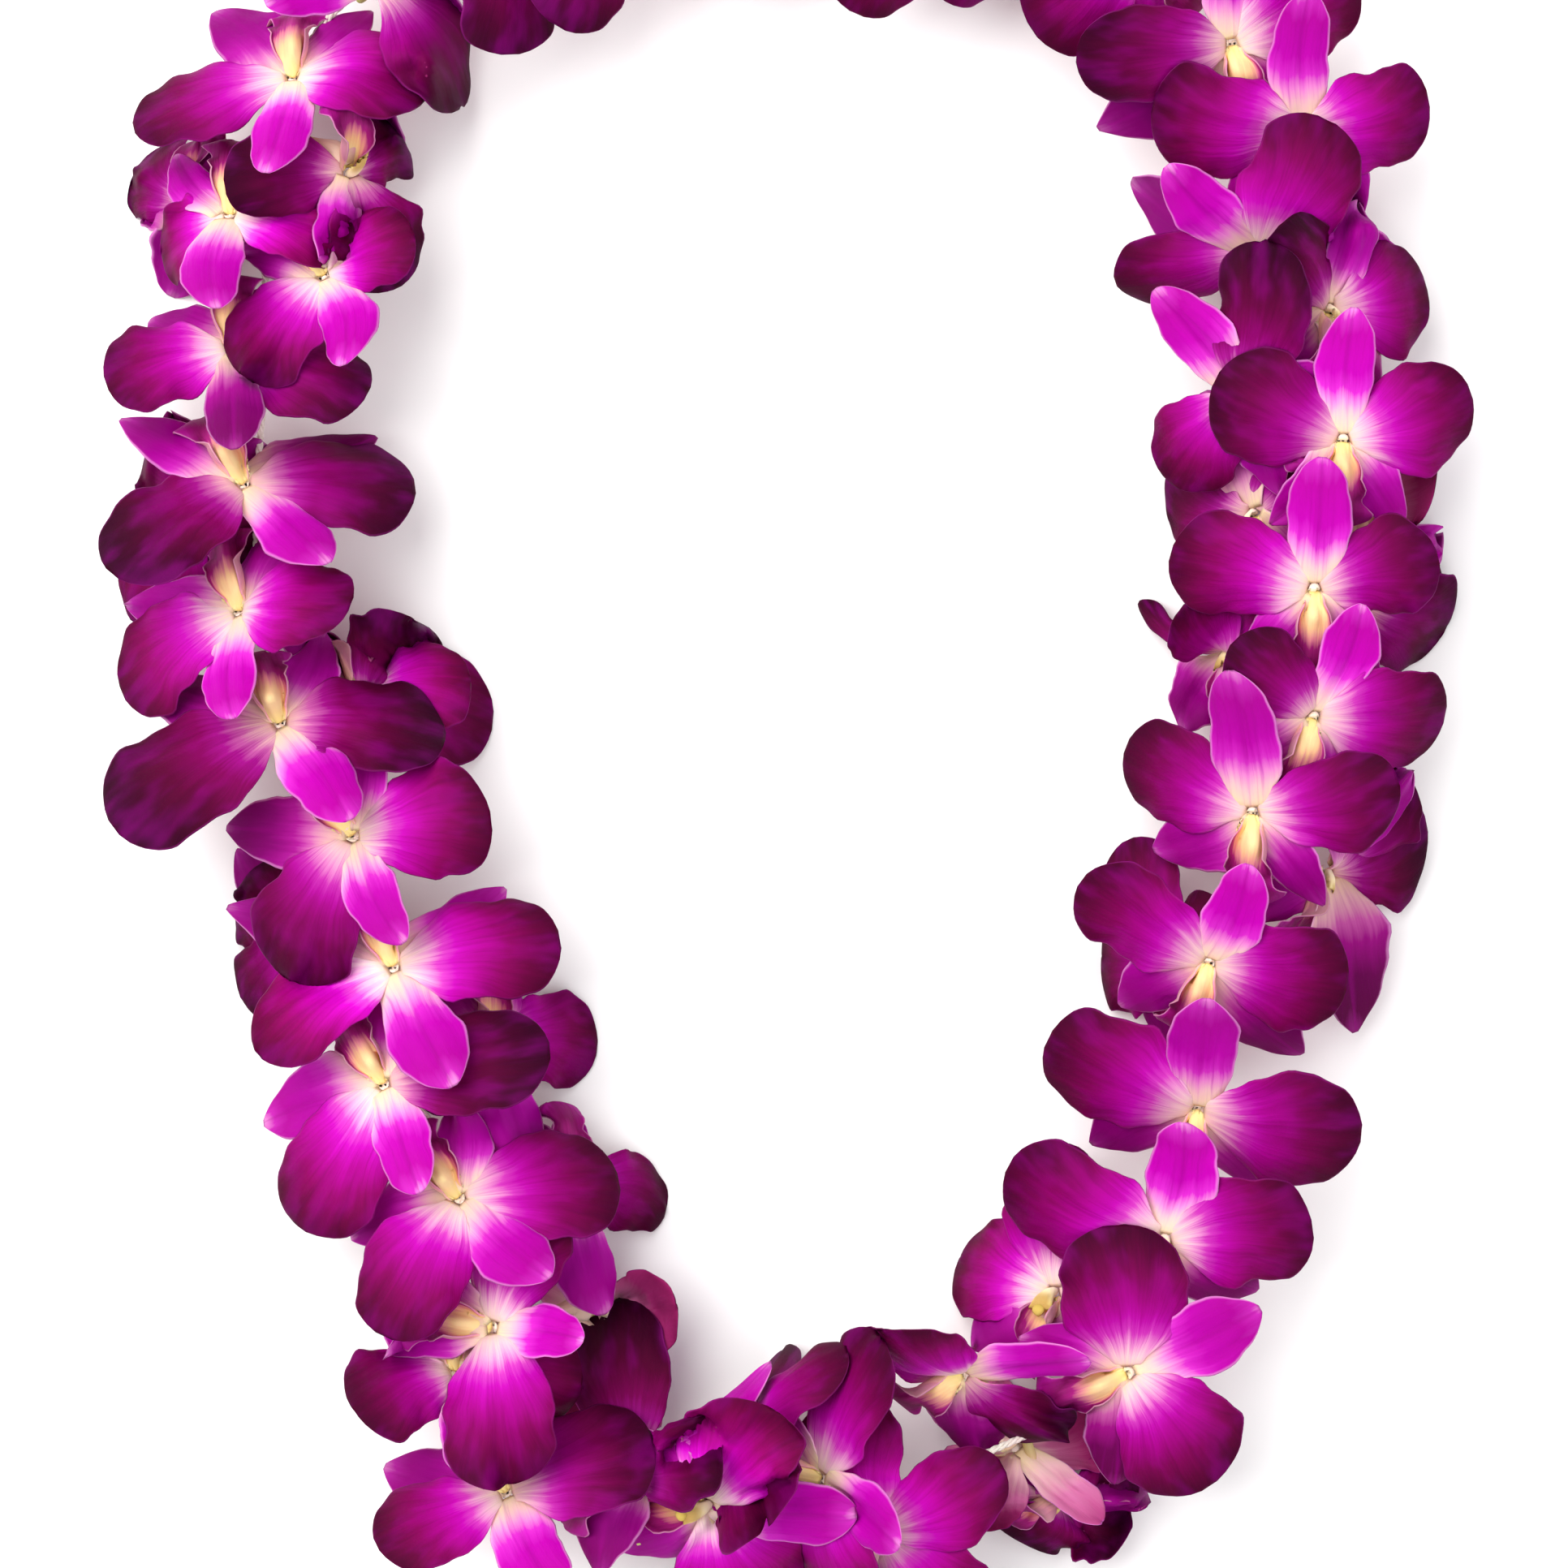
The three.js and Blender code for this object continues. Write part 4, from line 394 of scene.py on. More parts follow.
class Sheet:
    """One thin part of a blossom: a surface over u (base to tip) and v (-1 to 1 across)."""

    def __init__(self, blossom, part, kind, tip, rng, order):
        self.blossom, self.part, self.kind, self.order = blossom, part, kind, order
        self.tip = np.array(tip, float)
        r = rng.uniform(-1, 1, 24)
        self.r = r
        scale = float(np.clip(np.linalg.norm(tip) / 28.0, 0.85, 1.12)) if kind != "lip" else 1.0
        self.half = {"petal": 11.5, "dorsal": 6.7, "lateral": 6.9, "lip": 7.6}[kind] * scale * (1 + 0.07 * r[0])
        self.arch = {"petal": 2.2, "dorsal": 0.3, "lateral": 1.2, "lip": 0}[kind] + 1.2 * r[1]
        self.recurve = {"petal": 3.4, "dorsal": 1.2, "lateral": 2.2, "lip": 0}[kind] + 2.0 * r[2]
        self.cross = {"petal": -2.6, "dorsal": -1.4, "lateral": -0.6, "lip": 0}[kind] + 1.5 * r[3]
        self.twist = math.radians({"petal": 16, "dorsal": 14, "lateral": 18, "lip": 0}[kind]) * r[4]
        self.bend = {"petal": 2.0, "dorsal": 1.8, "lateral": 2.2, "lip": 0}[kind] * r[5]
        self.ruffle = {"petal": 0.8, "dorsal": 0.3, "lateral": 0.4, "lip": 0.8}[kind] * (1 + 0.5 * r[6])
        self.groove = {"petal": 0.3, "dorsal": 0.45, "lateral": 0.35, "lip": -0.5}[kind]
        self.seed = float(rng.uniform(0, 40))
        self.tone = 0.0
        self.roll = 0.0
        self.twin = 1.0 if part == "PR" else -1.0

    def axes(self):
        """Where the sheet starts, its length, and its own directions: along, face, across."""
        tip = self.tip
        n0 = np.array([0, 0, 1.0])
        c = unit(tip)
        base = c * 1.2 + np.array([0, 0, -0.9])
        chord = tip - base
        length = np.linalg.norm(chord)
        c = chord / length
        n = unit(n0 - c * (n0 @ c)) if abs(c[2]) < 0.93 else unit(np.array([0, 1.0, 0]) - c * c[1])
        return base, length, c, n, np.cross(c, n)

    def lie_flat(self, share):
        """Turn the face part of the way up, as a petal does that is pressed on the surface."""
        _, _, _, n, s = self.axes()
        up = self.blossom.turn.T @ np.array([0, 0, 1.0])
        angle = math.atan2(-(s @ up), n @ up)
        if abs(angle) < math.radians(110):
            self.roll = share * angle

    def points(self, u, v):
        """Positions in mm in the world for arrays u and v of one shape."""
        b = self.blossom
        w = width_at(self.kind, u)
        r = self.r
        ph = r[7:13] * math.pi
        edge = np.abs(v) ** 2.4
        waves = (
            np.sin(2 * math.pi * (1.6 + 0.5 * r[13]) * u + ph[0] + 1.3 * np.sign(v) * ph[2])
            + 0.6 * np.sin(2 * math.pi * (3.4 + 0.6 * r[14]) * u + ph[1] + np.sign(v) * ph[3])
        ) * edge * np.sin(np.clip(u, 0, 1) * math.pi) ** 0.5
        if self.kind == "lip":
            path = b.lip_path
            t = np.linspace(0, 1, len(path))
            y = np.interp(u, t, path[:, 0])
            z = np.interp(u, t, path[:, 1])
            h = 1e-3
            dy = np.interp(np.clip(u + h, 0, 1), t, path[:, 0]) - np.interp(np.clip(u - h, 0, 1), t, path[:, 0])
            dz = np.interp(np.clip(u + h, 0, 1), t, path[:, 1]) - np.interp(np.clip(u - h, 0, 1), t, path[:, 1])
            ln = np.hypot(dy, dz)
            my, mz = dz / ln, -dy / ln
            s_curl = np.clip((u - 0.02) / 0.18, 0, 1)
            e_curl = np.clip((u - 0.46) / 0.18, 0, 1)
            curl = 1.15 + 0.75 * s_curl * s_curl * (3 - 2 * s_curl)
            curl = curl * (1 - e_curl * e_curl * (3 - 2 * e_curl)) - 0.35 * e_curl
            curl = np.where(np.abs(curl) < 0.03, 0.03, curl)
            half = self.half * w
            a = curl * v
            side = half * np.sin(a) / curl
            up = half * (1 - np.cos(a)) / curl
            up = up + self.ruffle * waves * np.clip((u - 0.5) / 0.2, 0, 1) * 1.3
            up = up + 0.5 * np.exp(-((np.abs(v) * half - 1.0) / 0.45) ** 2) * np.clip(1 - u / 0.55, 0, 1)
            local = np.stack([side, y + my * up, z + mz * up], -1)
            return local @ b.turn.T + b.centre
        base, length, c, n, s = self.axes()
        out = np.sin(math.pi * np.clip(u, 0, 1))
        lat = self.half * w * v * (1 + 0.05 * np.sin(2 * math.pi * 1.3 * u + ph[4]) + 0.05 * np.sin(2 * math.pi * 1.9 * u + ph[5] + 0.8 * np.sign(v)) * out + 0.018 * np.sin(2 * math.pi * 5.1 * u + ph[3]) * np.sign(v))
        if self.kind == "petal":  # broader towards the lip
            lat = lat * (1 + 0.07 * self.twin * np.sign(v) * out)
        turn = self.twist * (u - 0.25) + self.roll * np.sin(0.5 * math.pi * np.clip(u / 0.4, 0, 1)) ** 2
        rise = (
            self.arch * np.sin(math.pi * u**0.8)
            - self.recurve * np.clip(u - 0.35, 0, 1) ** 2 * 1.6
            + self.cross * (v * w) ** 2
            + self.ruffle * waves
            - self.groove * np.exp(-((v * self.half * w) / 0.55) ** 2) * out**0.6
            + 0.18 * np.sin(v * w * 9.0 + r[15] * 3) * out
        )
        side = lat * np.cos(turn) + self.bend * out
        rise = rise + lat * np.sin(turn)
        p = base + (u * length)[..., None] * c + side[..., None] * s + rise[..., None] * n
        return p @ b.turn.T + b.centre


class Blossom:
    def __init__(self, index, row):
        self.name, centre, turn, tips, threaded, self.along = row
        self.index = index
        self.centre = np.array(centre, float)
        self.turn = rotation(turn)
        self.threaded = np.array(threaded, float)
        self.front = self.name.startswith("front")
        rng = np.random.default_rng(1000 + index)
        self.rng = rng
        self.seed = float(rng.uniform(0, 30))
        r = rng.uniform(-1, 1, 6)
        path = np.array(
            [(-0.6, -1.9), (-3.0, -1.6), (-5.6, -0.6), (-8.6, 0.9), (-11.8, 2.2), (-14.8, 2.6), (-17.6, 1.6), (-19.8, -0.4)]
        )
        path = path * [1 + 0.06 * r[0], 1 + 0.12 * r[1]]
        t = np.linspace(0, 1, len(path))
        fine = np.linspace(0, 1, 61)
        soft = np.stack([np.interp(fine, t, path[:, i]) for i in (0, 1)], 1)
        for _ in range(12):
            soft[1:-1] = 0.25 * soft[:-2] + 0.5 * soft[1:-1] + 0.25 * soft[2:]
        self.lip_path = soft
        d, pl, pr, ll, lr, _ = [np.array(t, float) for t in tips]
        side = rng.integers(0, 2)
        looks = LOOKS.get(self.name, {})
        self.sheets = [
            Sheet(self, "D", looks.get("as_D", "dorsal"), d, rng, 2.6),
            Sheet(self, "PL", "petal", pl, rng, 1.6 + 0.2 * side),
            Sheet(self, "PR", "petal", pr, rng, 1.8 - 0.2 * side),
            Sheet(self, "LL", looks.get("as_LL", "lateral"), ll, rng, 0.6),
            Sheet(self, "LR", looks.get("as_LR", "lateral"), lr, rng, 0.7),
            Sheet(self, "lip", "lip", (0, -13, 9), rng, 3.4),
        ]
        for sheet in self.sheets:
            if "move_" + sheet.part in looks:  # world millimetres
                sheet.tip = sheet.tip + self.turn.T @ np.array(looks["move_" + sheet.part], float)
        for sheet, base in zip(self.sheets, (0.12, 0.35, 0.35, 0.35, 0.4, 0.6)):
            tone = base + 0.12 * rng.uniform(-1, 1)
            # painted shade: side blossoms lie lower, under the front ones, so their tone is raised and their colour
            # painted darker
            if not self.front:
                tone += 0.35
            tone += looks.get("tone", 0.0) + looks.get("tone_" + sheet.part, 0.0)
            sheet.tone = float(np.clip(tone, 0, 1.2))
        for sheet in self.sheets:
            for key in ("half", "arch", "recurve", "cross", "twist", "bend", "ruffle"):
                if key + "_" + sheet.part in looks:
                    setattr(sheet, key, looks[key + "_" + sheet.part])
        if not self.front:
            for sheet in self.sheets[:5]:
                sheet.lie_flat(0.7)
        self.shift = 0.0


BL = [Blossom(i, row) for i, row in enumerate(BLOSSOMS)]
SHEETS = [s for b in BL for s in b.sheets]

# ---------------------------------------------------------------- lay the sheets over each other

CONTROL_U, CONTROL_V = 11, 7
SAMPLE_U, SAMPLE_V = 21, 13
CELL = 2.0
AIR = 1.15  # mm from one sheet's middle to the next one's


def spline_basis(t, n):
    """Rows of uniform cubic B-spline weights of n controls at each t in 0..1."""
    x = np.asarray(t, float)[:, None] * (n - 1) - np.arange(-1, n + 1)[None, :]
    a = np.abs(x)
    b = np.where(a < 1, 2 / 3 - a**2 + a**3 / 2, np.where(a < 2, (2 - a) ** 3 / 6, 0.0))
    b[:, 1] += b[:, 0]
    b[:, -2] += b[:, -1]
    return b[:, 1:-1]


sample_u = np.linspace(0.02, 1, SAMPLE_U)
sample_v = np.linspace(-1, 1, SAMPLE_V)
SU, SV = np.meshgrid(sample_u, sample_v, indexing="ij")
basis_u, basis_v = spline_basis(sample_u, CONTROL_U), spline_basis(sample_v, CONTROL_V)
back_u, back_v = np.linalg.pinv(basis_u), np.linalg.pinv(basis_v)
held = np.clip((np.linspace(0, 1, CONTROL_U) - 0.05) / 0.3, 0, 1) ** 1.0  # the base stays with its column


def column_line(b):
    return [(0, 0.6, -1.2), (0, -0.6, 0.9), (0, -2.4, 2.4), (0, -4.6, 3.0)]


def relax():
    count = len(SHEETS)
    at = np.stack([s.points(SU, SV) for s in SHEETS])  # sheet, u, v, xyz
    extra = []  # the columns, which don't bend
    for b in BL:
        line = np.array(column_line(b), float)
        t = np.linspace(0, 3, 9)
        mid = np.stack([np.interp(t, range(4), line[:, i]) for i in range(3)], 1)
        ring = [mid + [1.6 * math.cos(a), 1.2 * math.sin(a), 0] for a in np.linspace(0, 2 * math.pi, 7)[:-1]]
        extra.append(np.concatenate(ring) @ b.turn.T + b.centre)
    n_extra = extra[0].shape[0]
    flat = np.concatenate([at.reshape(-1, 3), np.concatenate(extra)])
    per = SAMPLE_U * SAMPLE_V
    owner = np.concatenate([np.repeat(np.arange(count), per), count + np.repeat(np.arange(len(BL)), n_extra)])
    blossom = np.array([s.blossom.index for s in SHEETS] + [b.index for b in BL])
    order = np.array([s.order for s in SHEETS] + [3.0] * len(BL))
    kind_front = np.array([b.front or LOOKS.get(b.name, {}).get("on_top", False) for b in BL])
    along = np.array([LOOKS.get(b.name, {}).get("along", b.along) for b in BL])
    stiff = np.array([{"petal": 1.0, "dorsal": 0.75, "lateral": 1.3, "lip": 0.9}[s.kind] for s in SHEETS] + [0.02] * len(BL))
    stiff = stiff * np.where(kind_front[blossom], 1.0, 4.0)
    root = np.concatenate([np.tile(SU.ravel(), count), np.ones(n_extra * len(BL))])
    ij = np.floor(flat[:, :2] / CELL).astype(int) + 400
    cell = ij[:, 0] * 1000 + ij[:, 1]
    key = cell.astype(np.int64) * 1000 + owner
    groups, member = np.unique(key, return_inverse=True)
    size = np.bincount(member)
    g_cell, g_owner = groups // 1000, groups % 1000
    g_root = np.bincount(member, root) / size
    z0 = flat[:, 2]
    uppers, lowers = [], []
    same = 1
    while True:
        if same >= len(groups):
            break
        hit = np.nonzero(g_cell[:-same] == g_cell[same:])[0]
        if not len(hit):
            break
        uppers.append(hit)
        lowers.append(hit + same)
        same += 1
    a, b = np.concatenate(uppers), np.concatenate(lowers)
    oa, ob = g_owner[a], g_owner[b]
    ba, bb = blossom[oa], blossom[ob]
    own = ba == bb
    near_root = (g_root[a] < 0.3) | (g_root[b] < 0.3)
    ok = ~(own & near_root)
    a, b, oa, ob, ba, bb, own = (q[ok] for q in (a, b, oa, ob, ba, bb, own))
    ahead = (along[ba] - along[bb] + LOOP / 2) % LOOP - LOOP / 2
    score = -ahead + 200.0 * (kind_front[ba].astype(float) - kind_front[bb]) + 0.8 * (order[oa] - order[ob])
    above = score > 0
    z_first = np.bincount(member, z0) / size
    # a pair that lies well apart the other way round keeps that order
    pair = oa.astype(np.int64) * 1000 + ob
    pairs, which = np.unique(pair, return_inverse=True)
    lead = np.bincount(which, np.where(above, 1, -1) * (z_first[a] - z_first[b])) / np.bincount(which)
    limit = np.where(own, -30.0, -13.0)
    swap = lead[which] < limit
    above = above ^ swap
    up, low = np.where(above, a, b), np.where(above, b, a)
    ou, ol = g_owner[up], g_owner[low]
    share_up = stiff[ou] / (stiff[ou] + stiff[ol])
    air = np.where(own, 0.75, AIR)
    bend = np.zeros((count, CONTROL_U, CONTROL_V))
    shift = np.zeros(len(BL))
    hold = held[None, :, None]
    for step in range(140):
        disp = np.einsum("ui,sij,vj->suv", basis_u, bend, basis_v).reshape(-1)
        disp = np.concatenate([disp, np.zeros(n_extra * len(BL))]) + shift[blossom[owner]]
        z = z0 + disp
        zg = np.bincount(member, z) / size
        lack = np.clip(air - (zg[up] - zg[low]), 0, 3.0)
        push = np.bincount(up, lack * share_up, len(zg)) - np.bincount(low, lack * (1 - share_up), len(zg))
        hits = np.bincount(up, lack > 0, len(zg)) + np.bincount(low, lack > 0, len(zg))
        push = push / np.maximum(hits, 1)
        fix = push[member]
        fix = fix + np.clip(0.8 - (z + fix), 0, None)  # the surface it lies on
        high = np.clip(z + fix - 58.0, 0, None)
        fix = fix - high
        per_sheet = fix[: count * per].reshape(count, SAMPLE_U, SAMPLE_V)
        change = np.einsum("iu,suv,jv->sij", back_u, per_sheet, back_v)
        bend += 0.9 * change * hold
        soft = bend.copy()
        soft[:, 1:-1] = 0.5 * soft[:, 1:-1] + 0.25 * (bend[:, :-2] + bend[:, 2:])
        soft[:, -1] = 0.6 * bend[:, -1] + 0.4 * (2 * bend[:, -2] - bend[:, -3])
        mid = soft.copy()
        soft[:, :, 1:-1] = 0.5 * mid[:, :, 1:-1] + 0.25 * (mid[:, :, :-2] + mid[:, :, 2:])
        rate = 0.3 if step < 110 else 0.15
        bend = ((1 - rate) * bend + rate * soft) * (0.992 if step < 110 else 1.0)
        bend = np.clip(bend, -16, 16)
        total = np.bincount(blossom[owner], fix, len(BL)) / np.bincount(blossom[owner], None, len(BL))
        shift = np.clip(shift + 0.5 * total, -5, 5)
    over = np.unique(ou.astype(np.int64) * 1000 + ol)
    left = np.clip(air - 0.5 - (zg[up] - zg[low]), 0, None)
    print("relaxed: pairs", len(up), "still closer than 0.6 mm", int((left > 0).sum()), "mean", round(float(left[left > 0].mean()) if (left > 0).any() else 0, 2), "max shift", round(float(np.abs(shift).max()), 1))
    for s, d in zip(SHEETS, bend):
        s.bending = d
    for b_, d in zip(BL, shift):
        b_.shift = float(d)
    return [(int(k // 1000), int(k % 1000)) for k in over]


FINE_U, FINE_V, FINE_CELL = 41, 29, 1.0
fine_u, fine_v = np.linspace(0, 1, FINE_U), np.linspace(-1, 1, FINE_V)


def cells_of(p):
    ij = np.floor(p[..., :2] / FINE_CELL).astype(np.int64) + 800
    return (ij[..., 0] * 2000 + ij[..., 1]).ravel()


def lowest_by_cell(p):
    keys = cells_of(p)
    z = p[..., 2].ravel()
    order = np.lexsort((z, keys))
    keys, z = keys[order], z[order]
    first = np.r_[True, keys[1:] != keys[:-1]]
    return keys[first], z[first]


def ceiling(raster, p):
    """How high points p may be under a sheet, with no limit where it isn't over them."""
    keys, z = raster
    want = cells_of(p)
    at = np.clip(np.searchsorted(keys, want), 0, len(keys) - 1)
    return np.where(keys[at] == want, z[at], 1e3).reshape(p.shape[:-1])


def blur(a):
    b = np.pad(a, 1, mode="edge")
    b = 0.25 * b[:-2] + 0.5 * b[1:-1] + 0.25 * b[2:]
    return 0.25 * b[:, :-2] + 0.5 * b[:, 1:-1] + 0.25 * b[:, 2:]


def settle(over):
    """Presses each sheet down where it would still come up through the one that lies on it."""
    U, V = np.meshgrid(fine_u, fine_v, indexing="ij")
    bu, bv = spline_basis(fine_u, CONTROL_U), spline_basis(fine_v, CONTROL_V)
    base = []
    for s in SHEETS:
        p = s.points(U, V)
        p[..., 2] += bu @ s.bending @ bv.T + s.blossom.shift
        base.append(p)
        s.press = np.zeros((FINE_U, FINE_V))
    rasters = [lowest_by_cell(p) for p in base]
    covers = {}
    for hi, lo in over:
        if hi < len(SHEETS):
            covers.setdefault(lo, []).append(hi)
    rank = sorted(
        range(len(SHEETS)),
        key=lambda i: (0 if SHEETS[i].blossom.front else 1, SHEETS[i].blossom.along, -SHEETS[i].order),
    )
    for sweep in range(2):
        for i in rank:
            s = SHEETS[i]
            p = base[i]
            limit = np.full(p.shape[:-1], 1e3)
            for j in covers.get(i, ()):
                own = SHEETS[j].blossom is s.blossom
                c = ceiling(rasters[j], p) - (0.45 if own else 0.6)
                if own:
                    c = np.where(U > 0.42, c, 1e3)
                limit = np.minimum(limit, c)
            push = np.clip(p[..., 2] - limit, 0, 9.0)
            if push.max() <= 0:
                s.press = push
                rasters[i] = lowest_by_cell(p)
                continue
            soft = push
            for _ in range(5):
                soft = blur(soft)
            push = np.maximum(push, soft)
            push *= np.clip((U - 0.02) / 0.12, 0, 1)
            s.press = push
            moved = p.copy()
            moved[..., 2] -= push
            rasters[i] = lowest_by_cell(moved)
    for b in BL:
        b.covers = [rasters[j] for j in covers.get(len(SHEETS) + b.index, ())]


settle(relax())


def fine_value(grid, u, v):
    """Bilinear look-up of a fine grid at the mesh's own u and v."""
    fu, fv = u * (FINE_U - 1), (v + 1) / 2 * (FINE_V - 1)
    i, j = np.clip(fu.astype(int), 0, FINE_U - 2), np.clip(fv.astype(int), 0, FINE_V - 2)
    a, b = fu - i, fv - j
    return (
        grid[i, j] * (1 - a) * (1 - b)
        + grid[i + 1, j] * a * (1 - b)
        + grid[i, j + 1] * (1 - a) * b
        + grid[i + 1, j + 1] * a * b
    )


# ---------------------------------------------------------------- meshes

PARTS = ("petal", "sepal", "lip", "column", "stem")


class Builder:
    """Gathers closed shells of one blossom into one mesh."""

    def __init__(self):
        self.points, self.faces, self.slots = [], [], []
        self.a, self.b, self.c = [], [], []
        self.count = 0

    def add(self, points, faces, slot, a, b, c):
        self.points.append(points)
        self.faces += [tuple(int(i) + self.count for i in f) for f in faces]
        self.slots += [slot] * len(faces)
        self.a.append(a)
        self.b.append(b)
        self.c.append(c)
        self.count += len(points)


def grid_of(kind):
    nu, nv = {"petal": (30, 21), "dorsal": (28, 15), "lateral": (24, 13), "lip": (34, 25)}[kind]
    t = np.linspace(0, 1, nu)
    u = t + 0.13 * np.sin(math.pi * t) * (t**1.2)  # finer towards the tip
    u = (u - u[0]) / (u[-1] - u[0])
    v = np.sin(np.linspace(-1, 1, nv) * math.pi / 2 * 0.9) / math.sin(math.pi / 2 * 0.9)
    return u, v


def add_sheet(out, sheet):
    u, v = grid_of(sheet.kind)
    U, V = np.meshgrid(u, v, indexing="ij")
    nu, nv = U.shape
    p = sheet.points(U, V)
    p[..., 2] += spline_basis(u, CONTROL_U) @ sheet.bending @ spline_basis(v, CONTROL_V).T + sheet.blossom.shift
    p[..., 2] -= fine_value(sheet.press, U, V)
    du = np.gradient(p, axis=0)
    dv = np.gradient(p, axis=1)
    n = np.cross(dv, du)
    if sheet.kind == "lip":
        n = -n
    n /= np.maximum(np.linalg.norm(n, axis=-1, keepdims=True), 1e-9)
    face = sheet.blossom.turn[:, 2]
    if sheet.kind != "lip" and (n @ face).mean() < 0:
        n = -n
    thick = {"petal": 0.5, "dorsal": 0.6, "lateral": 0.55, "lip": 0.55}[sheet.kind]
    t = thick * np.sqrt(np.clip(1 - np.abs(V) ** 6, 0, 1)) * np.clip((1 - U) / 0.05, 0, 1) ** 0.5 * (1 + 0.7 * (1 - U) ** 3)
    half = (t / 2)[..., None]
    top, low = p + n * half, p - n * half
    inner = np.zeros((nu, nv), bool)
    inner[1:-1, 1:-1] = True
    number = np.arange(nu * nv).reshape(nu, nv)
    under = number.copy()
    under[inner] = nu * nv + np.arange(inner.sum())
    rim = ~inner
    top[rim] = p[rim]
    points = np.concatenate([top.reshape(-1, 3), low[inner]])
    q = lambda m: np.stack([m[:-1, :-1], m[1:, :-1], m[1:, 1:], m[:-1, 1:]], -1).reshape(-1, 4)
    upper, lower = q(number), q(under)
    # which way round the top face lies
    e1 = top[1, nv // 2] - top[0, nv // 2]
    e2 = top[0, nv // 2 + 1] - top[0, nv // 2]
    flip = np.cross(e1, e2) @ n[0, nv // 2] < 0
    if flip:
        upper = upper[:, ::-1]
    else:
        lower = lower[:, ::-1]
    faces = np.concatenate([upper, lower])
    w = width_at(sheet.kind, U)
    lat = V * w
    length = np.linalg.norm(sheet.tip) if sheet.kind != "lip" else 22.0
    fan = lat * sheet.half / (length * (U + 0.14))
    A = np.stack([U, lat, fan], -1).reshape(-1, 3)
    A = np.concatenate([A, A.reshape(nu, nv, 3)[inner]])
    back = np.zeros((nu, nv))
    back[rim] = 0.5
    B = np.stack([back, np.full((nu, nv), sheet.tone), np.full((nu, nv), sheet.seed)], -1).reshape(-1, 3)
    B2 = np.stack([np.ones(inner.sum()), np.full(inner.sum(), sheet.tone), np.full(inner.sum(), sheet.seed)], -1)
    B = np.concatenate([B, B2])
    C = np.stack([V, np.abs(V) * (1 + 0 * U), np.full((nu, nv), sheet.half)], -1).reshape(-1, 3)
    C = np.concatenate([C, C.reshape(nu, nv, 3)[inner]])
    slot = {"petal": 0, "dorsal": 1, "lateral": 1, "lip": 2}[sheet.kind]
    out.add(points, faces, slot, A, B, C)


def tube(line, across, sides, steps, shape=None):
    """A closed tube along a line (local mm) with (half width x, half width y) per line point; returns points, faces, u, angle."""
    line = np.array(line, float)
    across = np.array(across, float)
    t = np.linspace(0, 1, len(line))
    fine = np.linspace(0, 1, steps)
    c = np.stack([np.interp(fine, t, line[:, i]) for i in range(3)], 1)
    r = np.stack([np.interp(fine, t, across[:, i]) for i in range(2)], 1)
    for _ in range(max(1, steps // (len(line) * 2))):
        c[1:-1] = 0.25 * c[:-2] + 0.5 * c[1:-1] + 0.25 * c[2:]
        r[1:-1] = 0.25 * r[:-2] + 0.5 * r[1:-1] + 0.25 * r[2:]
    d = np.gradient(c, axis=0)
    d /= np.linalg.norm(d, axis=1, keepdims=True)
    side = np.tile([1.0, 0, 0], (steps, 1))
    side -= d * (side * d).sum(1, keepdims=True)
    side /= np.linalg.norm(side, axis=1, keepdims=True)
    up = np.cross(d, side)
    a = np.linspace(0, 2 * math.pi, sides, endpoint=False)
    U, AN = np.meshgrid(fine, a, indexing="ij")
    rx, ry = r[:, :1] * np.ones_like(AN), r[:, 1:] * np.ones_like(AN)
    k = np.ones_like(AN) if shape is None else shape(U, AN)
    p = c[:, None] + side[:, None] * (rx * np.cos(AN) * k)[..., None] + up[:, None] * (ry * np.sin(AN) * k)[..., None]
    n = steps * sides
    points = np.concatenate([p.reshape(-1, 3), c[:1], c[-1:]])
    number = np.arange(n).reshape(steps, sides)
    nxt = np.roll(number, -1, axis=1)
    faces = np.stack([number[:-1], nxt[:-1], nxt[1:], number[1:]], -1).reshape(-1, 4).tolist()
    faces += [(int(nxt[0, i]), int(number[0, i]), n) for i in range(sides)]
    faces += [(int(number[-1, i]), int(nxt[-1, i]), n + 1) for i in range(sides)]
    u = np.concatenate([U.ravel(), [0, 1]])
    an = np.concatenate([AN.ravel(), [0, 0]])
    return points, faces, u, an


def add_tube(out, blossom, slot, made, tone):
    points, faces, u, an = made
    world_points = points @ blossom.turn.T + blossom.centre + [0, 0, blossom.shift]
    if slot == 3:
        for raster in blossom.covers:
            world_points[:, 2] = np.minimum(world_points[:, 2], ceiling(raster, world_points) - 0.5)
    A = np.stack([u, np.cos(an), np.sin(an)], -1)
    B = np.stack([0 * u, np.full(len(u), tone), np.full(len(u), blossom.seed)], -1)
    out.add(world_points, faces, slot, A, B, A * 0)


def add_column(out, b):
    """The short column: narrow at the foot, wide at its end, with a rim round the hollow that faces the lip."""
    line = column_line(b)
    body = tube(
        line,
        [(1.0, 0.9), (1.55, 1.2), (2.35, 1.45), (2.95, 1.15)],
        20,
        16,
        lambda U, AN: 1 - 0.30 * np.clip((U - 0.3) / 0.5, 0, 1) * np.clip(np.sin(AN), 0, 1) ** 2,
    )
    add_tube(out, b, 3, body, 0.0)
    end = np.array(line[-1], float)
    # anther cap: a small dome on the end, between the rim's corners
    cap = tube(
        [end + [0, 0.9, -0.3], end + [0, 0.2, 0.35], end + [0, -0.6, 0.45], end + [0, -1.3, 0.1], end + [0, -1.6, -0.2]],
        [(0.5, 0.4), (1.5, 0.85), (1.6, 0.9), (0.95, 0.6), (0.2, 0.2)],
        16,
        12,
    )
    add_tube(out, b, 3, cap, 1.0)


